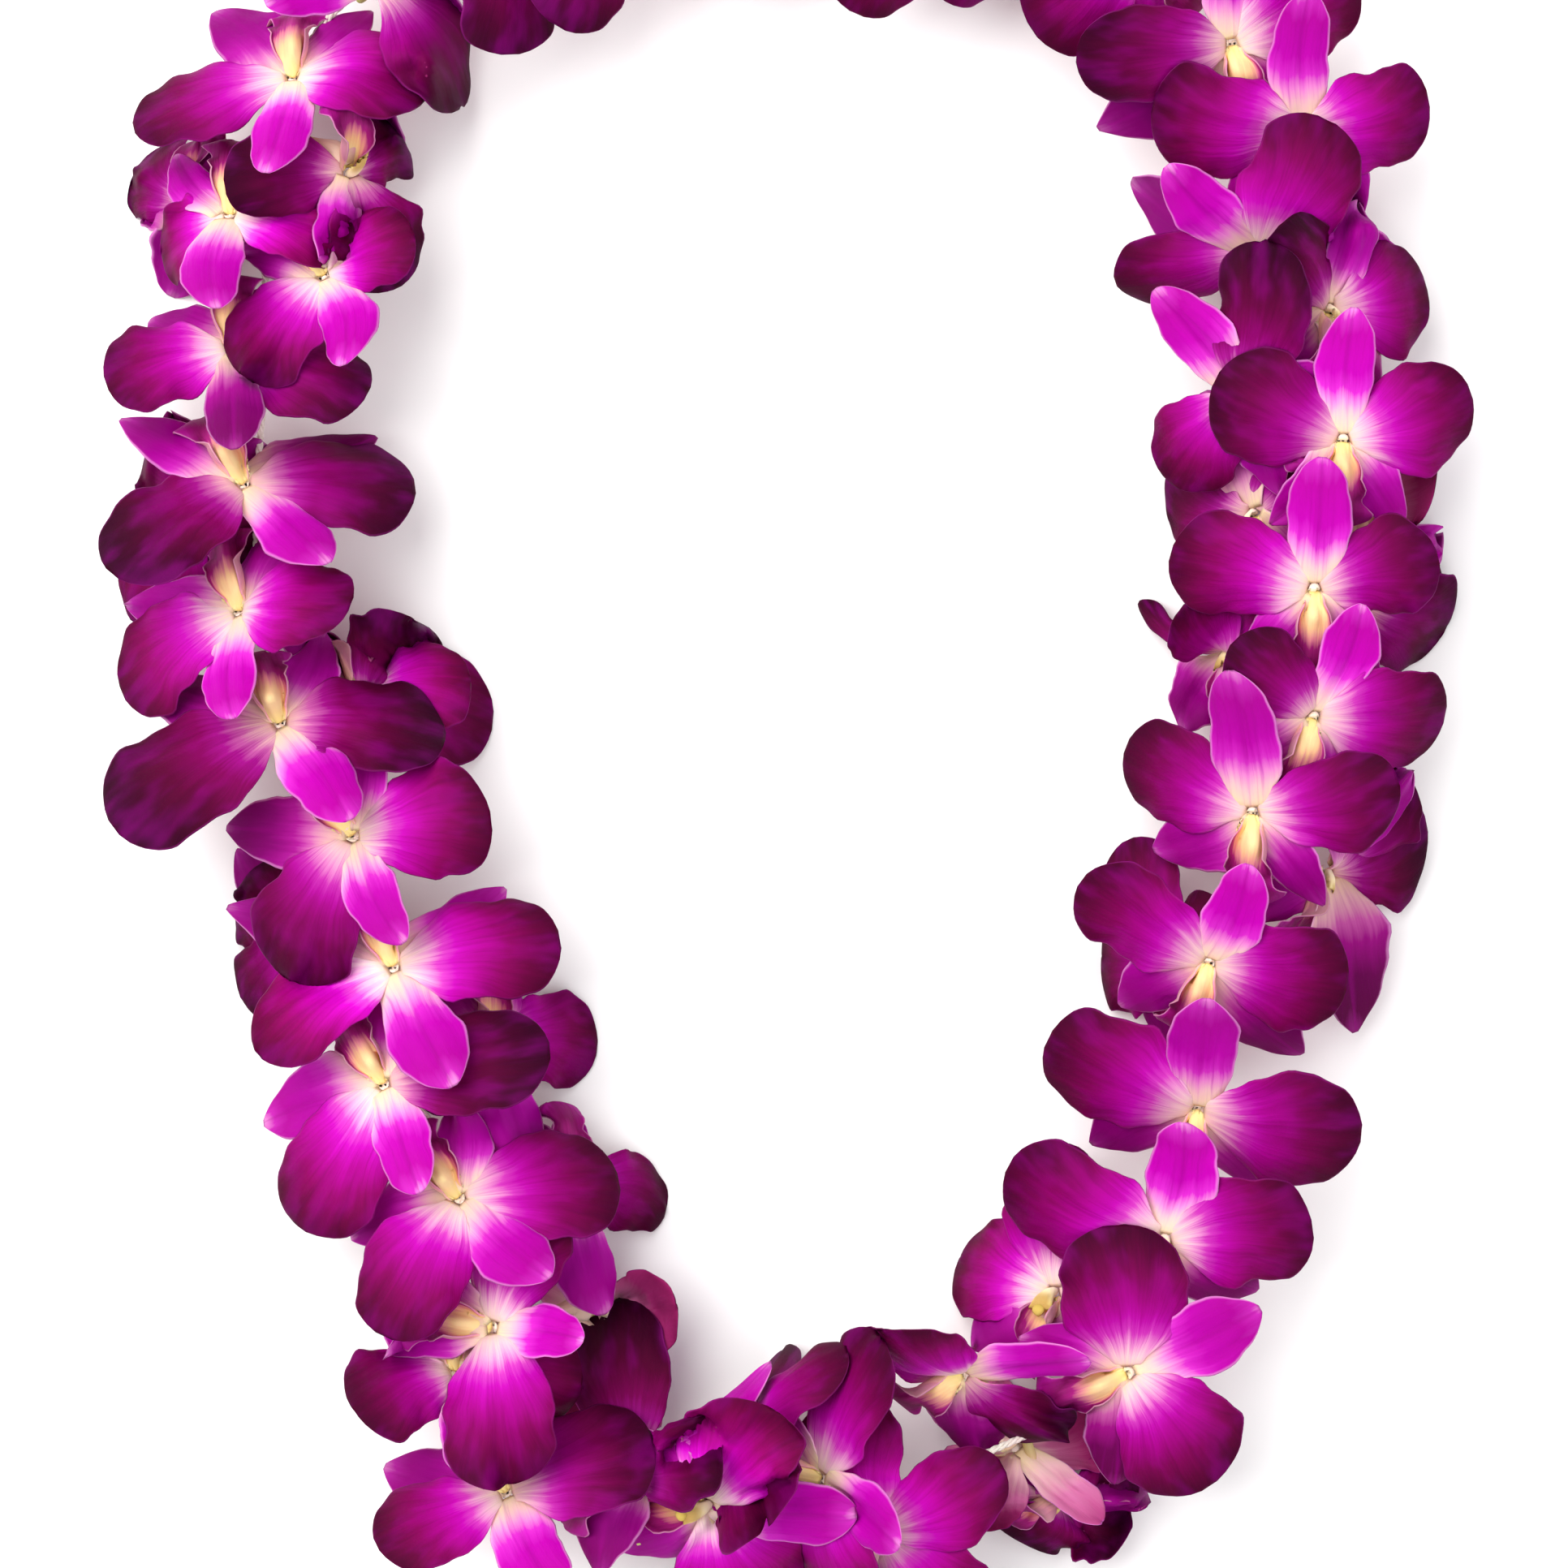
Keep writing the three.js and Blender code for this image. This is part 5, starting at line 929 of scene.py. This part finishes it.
def add_stem(out, b):
    inner = (b.threaded - b.centre) @ b.turn
    start = np.array([0, -1.2, -1.6])
    chin = np.array([0, -4.6, -3.6])
    aim = unit(inner - chin)
    aim = unit(aim + np.array([0, -0.35, -0.9]))
    p1 = chin + aim * 4.0
    p2 = chin + aim * 8.0
    p3 = chin + aim * 12.5
    made = tube(
        [start, (start + chin) / 2 + [0, 0.2, 0], chin, p1, p2, p3, p3 + aim * 0.25],
        [(1.9, 1.6), (2.9, 2.3), (2.3, 2.0), (1.35, 1.35), (1.15, 1.15), (1.2, 1.2), (0.5, 0.5)],
        12,
        20,
    )
    pts = made[0] @ b.turn.T + b.centre
    low = 1.2 - (pts[:, 2].min() + b.shift)
    if low > 0:  # it stays over the surface the lei lies on
        made = ((pts + np.outer(np.clip((pts[:, 2].max() - pts[:, 2]) / (np.ptp(pts[:, 2]) + 1e-6), 0, 1), [0, 0, low]) - b.centre) @ b.turn, *made[1:])
    add_tube(out, b, 4, made, 0.0)


def build_blossom(b, materials):
    out = Builder()
    for sheet in b.sheets:
        add_sheet(out, sheet)
    add_column(out, b)
    add_stem(out, b)
    mesh = bpy.data.meshes.new(b.name + "_flower")
    points = np.concatenate(out.points) * MM
    points[:, 2] = np.maximum(points[:, 2], 0.0003)
    mesh.from_pydata(points.tolist(), [], out.faces)
    mesh.polygons.foreach_set("material_index", np.array(out.slots, np.int32))
    mesh.polygons.foreach_set("use_smooth", np.ones(len(out.faces), bool))
    for name, rows in (("along", out.a), ("kind", out.b), ("rim", out.c)):
        attribute = mesh.attributes.new(name, "FLOAT_VECTOR", "POINT")
        attribute.data.foreach_set("vector", np.concatenate(rows).astype(np.float32).ravel())
    for material in materials:
        mesh.materials.append(material)
    mesh.update()
    piece = bpy.data.objects.new(b.name + "_flower", mesh)
    scene.collection.objects.link(piece)
    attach(piece, "root")
    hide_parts(b.name)
    return piece


# ---------------------------------------------------------------- materials


def skin_finish(shader, rough, specular, subsurface, radius, scale):
    shader.inputs["Roughness"].default_value = rough
    shader.inputs["Specular IOR Level"].default_value = specular
    shader.inputs["Subsurface Weight"].default_value = subsurface
    shader.inputs["Subsurface Radius"].default_value = radius
    shader.inputs["Subsurface Scale"].default_value = scale


def streaks(g, u, fan, seed, across, along, detail=3.0):
    """Noise drawn out along the veins."""
    return g.noise(
        g.join(g.math("MULTIPLY", u, along), g.math("MULTIPLY", fan, across), seed), 1.0, detail, 0.6
    )


def petal_material():
    material, tree, shader = node_material("orchid_petal")
    g = Graph(tree)
    u, lat, fan = g.split(g.attribute("along"))
    back, tone, seed = g.split(g.attribute("kind"))
    v, edge, half = g.split(g.attribute("rim"))
    fine = streaks(g, u, fan, seed, 34.0, 2.2)
    broad = streaks(g, u, fan, seed, 7.0, 1.4, 1.5)
    cloud = g.noise(g.join(g.math("MULTIPLY", u, 3.0), g.math("MULTIPLY", lat, 2.4), seed), 1.0, 2.0)
    # how far along the colour has come: veins carry the magenta further in, the middle stays pale longer
    side = g.math("MULTIPLY", g.math("MULTIPLY", lat, lat), 0.17)
    t = g.math("ADD", u, g.math("MULTIPLY", g.math("SUBTRACT", fine, 0.5), 0.13))
    t = g.math("ADD", t, g.math("MULTIPLY", g.math("SUBTRACT", broad, 0.5), 0.22))
    t = g.math("ADD", t, side)
    t = g.math("ADD", t, g.math("MULTIPLY", tone, 0.05))
    bright = g.ramp(
        t,
        [
            (0.0, (0.90, 0.72, 0.54)),
            (0.10, (0.92, 0.70, 0.70)),
            (0.21, (0.90, 0.44, 0.72)),
            (0.30, (0.76, 0.07, 0.62)),
            (0.40, (0.63, 0.002, 0.55)),
            (0.55, (0.44, 0.0, 0.295)),
            (0.72, (0.26, 0.0, 0.115)),
            (0.88, (0.135, 0.0, 0.045)),
            (1.0, (0.075, 0.0, 0.024)),
        ],
        "LINEAR",
    )
    dark = g.ramp(
        t,
        [
            (0.0, (0.74, 0.50, 0.38)),
            (0.12, (0.70, 0.36, 0.44)),
            (0.22, (0.48, 0.09, 0.33)),
            (0.32, (0.29, 0.004, 0.20)),
            (0.46, (0.165, 0.0, 0.072)),
            (0.66, (0.08, 0.0, 0.026)),
            (0.86, (0.04, 0.0, 0.014)),
            (1.0, (0.026, 0.0, 0.011)),
        ],
        "LINEAR",
    )
    # tone mixes towards the dark ramp: partly each part's own darker colour, partly painted shade on the side blossoms
    colour = g.mix(tone, bright, dark)
    # fine darker veins and cloudy patches
    vein = g.smooth(fine, 0.5, 0.74)
    colour = g.mix(g.math("MULTIPLY", vein, 0.16), colour, (0.09, 0.0, 0.05, 1))
    patch = g.smooth(cloud, 0.42, 0.72)
    colour = g.mix(g.math("MULTIPLY", patch, g.smooth(u, 0.3, 0.45, 0.0, 0.16)), colour, (0.46, 0.0, 0.37, 1))
    # thin paler line at the rim: a painted edge highlight
    rim = g.smooth(edge, 0.955, 0.995)
    colour = g.mix(g.math("MULTIPLY", rim, 0.24), colour, (0.42, 0.03, 0.32, 1))
    reverse = g.ramp(
        t,
        [
            (0.0, (0.86, 0.60, 0.42)),
            (0.2, (0.74, 0.40, 0.46)),
            (0.42, (0.50, 0.12, 0.28)),
            (0.7, (0.30, 0.02, 0.13)),
            (1.0, (0.22, 0.01, 0.085)),
        ],
        "LINEAR",
    )
    colour = g.mix(g.smooth(back, 0.55, 0.95), colour, reverse)
    tree.links.new(colour, shader.inputs["Base Color"])
    height = g.math("ADD", g.math("MULTIPLY", fine, 1.0), g.math("MULTIPLY", g.noise(None, 2600.0, 2.0), 0.25))
    tree.links.new(g.bump(height, 0.35, 0.0004), shader.inputs["Normal"])
    skin_finish(shader, 0.55, 0.04, 0.1, (1.0, 0.1, 0.6), 0.0012)
    return material


def sepal_material():
    material, tree, shader = node_material("orchid_sepal")
    g = Graph(tree)
    u, lat, fan = g.split(g.attribute("along"))
    back, tone, seed = g.split(g.attribute("kind"))
    v, edge, half = g.split(g.attribute("rim"))
    fine = streaks(g, u, lat, seed, 9.0, 1.6)
    broad = streaks(g, u, lat, seed, 2.4, 1.3, 1.5)
    side = g.math("MULTIPLY", g.math("MULTIPLY", v, v), 0.07)
    t = g.math("ADD", u, g.math("MULTIPLY", g.math("SUBTRACT", fine, 0.5), 0.14))
    t = g.math("ADD", t, g.math("MULTIPLY", g.math("SUBTRACT", broad, 0.5), 0.22))
    t = g.math("SUBTRACT", t, side)
    bright = g.ramp(
        t,
        [
            (0.0, (0.86, 0.68, 0.44)),
            (0.14, (0.86, 0.52, 0.54)),
            (0.25, (0.80, 0.24, 0.62)),
            (0.35, (0.62, 0.02, 0.53)),
            (0.50, (0.48, 0.0, 0.39)),
            (0.78, (0.42, 0.0, 0.31)),
            (0.92, (0.54, 0.02, 0.44)),
            (1.0, (0.76, 0.24, 0.62)),
        ],
        "LINEAR",
    )
    dark = g.ramp(
        t,
        [
            (0.0, (0.74, 0.54, 0.35)),
            (0.14, (0.64, 0.34, 0.38)),
            (0.28, (0.42, 0.07, 0.28)),
            (0.40, (0.25, 0.003, 0.165)),
            (0.60, (0.11, 0.0, 0.062)),
            (0.85, (0.09, 0.0, 0.045)),
            (1.0, (0.22, 0.01, 0.15)),
        ],
        "LINEAR",
    )
    # tone mixes towards the dark ramp: partly each part's own darker colour, partly painted shade on the side blossoms
    colour = g.mix(tone, bright, dark)
    middle = g.smooth(g.math("ABSOLUTE", v), 0.0, 0.16, 1.0, 0.0)
    line = g.math("MULTIPLY", middle, g.smooth(u, 0.25, 0.5, 0.0, 0.35))
    colour = g.mix(line, colour, (0.27, 0.0, 0.19, 1))
    vein = g.smooth(fine, 0.5, 0.74)
    colour = g.mix(g.math("MULTIPLY", vein, 0.22), colour, (0.22, 0.0, 0.16, 1))
    rim = g.smooth(edge, 0.90, 0.99)
    colour = g.mix(g.math("MULTIPLY", rim, 0.5), colour, (0.86, 0.36, 0.74, 1))
    reverse = g.ramp(
        t,
        [
            (0.0, (0.84, 0.66, 0.38)),
            (0.25, (0.80, 0.48, 0.50)),
            (0.55, (0.60, 0.17, 0.36)),
            (1.0, (0.36, 0.035, 0.17)),
        ],
        "LINEAR",
    )
    colour = g.mix(g.smooth(back, 0.55, 0.95), colour, reverse)
    tree.links.new(colour, shader.inputs["Base Color"])
    height = g.math("ADD", g.math("MULTIPLY", fine, 1.0), g.math("MULTIPLY", g.noise(None, 2600.0, 2.0), 0.25))
    tree.links.new(g.bump(height, 0.35, 0.0004), shader.inputs["Normal"])
    skin_finish(shader, 0.52, 0.045, 0.1, (1.0, 0.12, 0.6), 0.0012)
    return material


def lip_material():
    material, tree, shader = node_material("orchid_lip")
    g = Graph(tree)
    u, lat, fan = g.split(g.attribute("along"))
    back, tone, seed = g.split(g.attribute("kind"))
    v, edge, half = g.split(g.attribute("rim"))
    fine = streaks(g, u, lat, seed, 10.0, 2.0)
    wide = g.math("MULTIPLY", g.math("MULTIPLY", v, v), 0.34)
    t = g.math("ADD", g.math("ADD", u, wide), g.math("MULTIPLY", g.math("SUBTRACT", fine, 0.5), 0.22))
    colour = g.ramp(
        t,
        [
            (0.0, (0.90, 0.70, 0.26)),
            (0.25, (0.92, 0.70, 0.34)),
            (0.40, (0.84, 0.50, 0.26)),
            (0.50, (0.66, 0.20, 0.26)),
            (0.58, (0.34, 0.012, 0.18)),
            (0.75, (0.16, 0.002, 0.075)),
            (0.95, (0.24, 0.002, 0.14)),
            (1.0, (0.30, 0.004, 0.20)),
        ],
        "LINEAR",
    )
    colour = g.mix(g.math("MULTIPLY", g.smooth(edge, 0.93, 0.99), 0.45), colour, (0.80, 0.36, 0.60, 1))
    colour = g.mix(g.math("MULTIPLY", g.smooth(back, 0.55, 0.95), 0.5), colour, (0.74, 0.42, 0.42, 1))
    tree.links.new(colour, shader.inputs["Base Color"])
    tree.links.new(g.bump(fine, 0.4, 0.0005), shader.inputs["Normal"])
    skin_finish(shader, 0.55, 0.08, 0.12, (1.0, 0.3, 0.4), 0.0012)
    return material


def column_material():
    material, tree, shader = node_material("orchid_column")
    g = Graph(tree)
    u, ca, sa = g.split(g.attribute("along"))
    back, tone, seed = g.split(g.attribute("kind"))
    spots = g.noise(g.join(g.math("MULTIPLY", u, 4.0), ca, g.math("ADD", sa, seed)), 3.0, 3.0)
    t = g.math("ADD", u, g.math("MULTIPLY", g.math("SUBTRACT", spots, 0.5), 0.25))
    body = g.ramp(
        t,
        [
            (0.0, (0.93, 0.72, 0.66)),
            (0.25, (0.95, 0.82, 0.58)),
            (0.6, (0.93, 0.79, 0.38)),
            (0.82, (0.86, 0.68, 0.24)),
            (0.92, (0.68, 0.50, 0.16)),
            (1.0, (0.58, 0.40, 0.12)),
        ],
        "LINEAR",
    )
    under = g.math("MULTIPLY", g.smooth(sa, 0.1, 0.8), g.smooth(u, 0.35, 0.7))
    body = g.mix(g.math("MULTIPLY", under, 0.8), body, (0.44, 0.25, 0.07, 1))
    cap = g.ramp(
        t,
        [
            (0.0, (0.46, 0.30, 0.07)),
            (0.3, (0.56, 0.40, 0.09)),
            (0.6, (0.60, 0.44, 0.11)),
            (1.0, (0.52, 0.34, 0.10)),
        ],
        "LINEAR",
    )
    tree.links.new(g.mix(tone, body, cap), shader.inputs["Base Color"])
    tree.links.new(g.bump(spots, 0.3, 0.0004), shader.inputs["Normal"])
    skin_finish(shader, 0.75, 0.04, 0.15, (1.0, 0.7, 0.35), 0.0012)
    return material


def stem_material():
    material, tree, shader = node_material("orchid_stem")
    g = Graph(tree)
    u, ca, sa = g.split(g.attribute("along"))
    back, tone, seed = g.split(g.attribute("kind"))
    lines = g.noise(g.join(g.math("MULTIPLY", u, 3.0), g.math("MULTIPLY", ca, 4.0), g.math("ADD", g.math("MULTIPLY", sa, 4.0), seed)), 1.0, 3.0)
    t = g.math("ADD", u, g.math("MULTIPLY", g.math("SUBTRACT", lines, 0.5), 0.3))
    colour = g.ramp(
        t,
        [
            (0.0, (0.90, 0.66, 0.56)),
            (0.3, (0.86, 0.62, 0.48)),
            (0.5, (0.72, 0.42, 0.36)),
            (0.62, (0.60, 0.42, 0.22)),
            (0.85, (0.52, 0.50, 0.16)),
            (0.97, (0.78, 0.74, 0.34)),
            (1.0, (0.86, 0.80, 0.50)),
        ],
        "LINEAR",
    )
    tree.links.new(colour, shader.inputs["Base Color"])
    tree.links.new(g.bump(lines, 0.4, 0.0004), shader.inputs["Normal"])
    skin_finish(shader, 0.5, 0.2, 0.1, (0.9, 0.7, 0.3), 0.001)
    return material


materials = [petal_material(), sepal_material(), lip_material(), column_material(), stem_material()]
for blossom in BL:
    build_blossom(blossom, materials)

# ---------------------------------------------------------------- the string: three-ply twisted cotton, tied in a knot


def closed_curve(points, steps):
    """Even points on a smooth closed curve through the given ones."""
    p = np.array(points, float)
    n = len(p)
    fine = []
    for i in range(n):
        a, b, c, d = p[i - 1], p[i], p[(i + 1) % n], p[(i + 2) % n]
        for t in np.linspace(0, 1, 24, endpoint=False):
            fine.append(
                0.5 * (2 * b + (c - a) * t + (2 * a - 5 * b + 4 * c - d) * t * t + (3 * b - a - 3 * c + d) * t**3)
            )
    fine = np.array(fine + fine[:1])
    arc = np.r_[0, np.cumsum(np.linalg.norm(np.diff(fine, axis=0), axis=1))]
    s = np.linspace(0, arc[-1], steps, endpoint=False)
    return np.stack([np.interp(s, arc, fine[:, i]) for i in range(fine.shape[1])], 1), arc[-1]


def strand(centres, radius, sides, closed):
    """A tube of numpy rings along the centres (mm)."""
    n = len(centres)
    if closed:
        d = np.roll(centres, -1, axis=0) - np.roll(centres, 1, axis=0)
    else:
        d = np.gradient(centres, axis=0)
    d /= np.linalg.norm(d, axis=1, keepdims=True)
    ref = np.tile([0, 0, 1.0], (n, 1))
    ref[np.abs(d[:, 2]) > 0.9] = [1.0, 0, 0]
    side = np.cross(d, ref)
    side /= np.linalg.norm(side, axis=1, keepdims=True)
    up = np.cross(side, d)
    if not closed:  # carry the frame along, so that it doesn't flip
        for i in range(1, n):
            s = side[i - 1] - d[i] * (side[i - 1] @ d[i])
            side[i] = s / np.linalg.norm(s)
            up[i] = np.cross(side[i], d[i])
    a = np.linspace(0, 2 * math.pi, sides, endpoint=False)
    ring = centres[:, None] + radius * (side[:, None] * np.cos(a)[None, :, None] + up[:, None] * np.sin(a)[None, :, None])
    number = np.arange(n * sides).reshape(n, sides)
    nxt = np.roll(number, -1, axis=1)
    if closed:
        after, after_nxt = np.roll(number, -1, axis=0), np.roll(nxt, -1, axis=0)
        faces = np.stack([number, after, after_nxt, nxt], -1).reshape(-1, 4).tolist()
        return ring.reshape(-1, 3), faces
    faces = np.stack([number[:-1], number[1:], nxt[1:], nxt[:-1]], -1).reshape(-1, 4).tolist()
    points = np.concatenate([ring.reshape(-1, 3), centres[:1], centres[-1:]])
    m = n * sides
    faces += [(int(number[0, i]), int(nxt[0, i]), m) for i in range(sides)]
    faces += [(int(nxt[-1, i]), int(number[-1, i]), m + 1) for i in range(sides)]
    return points, faces


def build_string():
    points, faces, total = [], [], 0
    STEPS = 1500
    line, length = closed_curve([(x, y, STRING_HEIGHT) for x, y in STRING_POINTS], STEPS)
    d = np.roll(line, -1, axis=0) - np.roll(line, 1, axis=0)
    d /= np.linalg.norm(d, axis=1, keepdims=True)
    side = np.cross(d, [0, 0, 1.0])
    turns = 160
    for ply in range(3):
        a = 2 * math.pi * (turns * np.arange(STEPS) / STEPS + ply / 3)
        centre = line + 0.42 * (side * np.cos(a)[:, None] + np.array([0, 0, 1.0]) * np.sin(a)[:, None])
        p, f = strand(centre, 0.40, 7, True)
        points.append(p)
        faces += [tuple(i + total for i in q) for q in f]
        total += len(p)
    # overhand knot with two short cut ends, where the loop is closed
    at = line[int(KNOT_SHARE * STEPS)]
    t = d[int(KNOT_SHARE * STEPS)]
    s = side[int(KNOT_SHARE * STEPS)]
    up = np.array([0, 0, 1.0])
    k = np.linspace(0.0, 2 * math.pi, 90, endpoint=False)
    trefoil = (
        np.outer((np.sin(k) + 2 * np.sin(2 * k)) * 0.62, t)
        + np.outer((np.cos(k) - 2 * np.cos(2 * k)) * 0.62, s)
        + np.outer(-np.sin(3 * k) * 0.75, up)
        + at
    )
    p, f = strand(trefoil, 0.62, 9, True)
    points.append(p)
    faces += [tuple(i + total for i in q) for q in f]
    total += len(p)
    for sign in (-1, 1):
        j = np.linspace(0, 1, 14)
        tail = at + np.outer(j * 6.5, 0.55 * t * sign + 0.6 * s) + np.outer(1.2 - 3.0 * j * j, up)
        p, f = strand(tail, 0.6, 9, False)
        points.append(p)
        faces += [tuple(i + total for i in q) for q in f]
        total += len(p)
    mesh = bpy.data.meshes.new("lei_string")
    mesh.from_pydata((np.concatenate(points) * MM).tolist(), [], faces)
    mesh.polygons.foreach_set("use_smooth", np.ones(len(faces), bool))
    mesh.update()
    material, tree, shader = node_material("cotton_thread")
    g = Graph(tree)
    where = tree.nodes.new("ShaderNodeTexCoord").outputs["Object"]
    fibre = g.noise(where, 1400.0, 4.0, 0.7)
    stain = g.noise(where, 60.0, 2.0)
    colour = g.ramp(fibre, [(0.25, (0.62, 0.56, 0.46)), (0.5, (0.82, 0.78, 0.68)), (0.75, (0.92, 0.89, 0.82))], "LINEAR")
    colour = g.mix(g.smooth(stain, 0.5, 0.75, 0.0, 0.35), colour, (0.70, 0.36, 0.48, 1))
    tree.links.new(colour, shader.inputs["Base Color"])
    tree.links.new(g.bump(fibre, 0.7, 0.0003), shader.inputs["Normal"])
    shader.inputs["Roughness"].default_value = 0.9
    shader.inputs["Specular IOR Level"].default_value = 0.1
    shader.inputs["Sheen Weight"].default_value = 0.3
    mesh.materials.append(material)
    piece = bpy.data.objects.new("lei_string", mesh)
    scene.collection.objects.link(piece)
    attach(piece, "root")
    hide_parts("string")
    return piece


KNOT_SHARE = 0.8500
build_string()

bpy.context.view_layer.update()
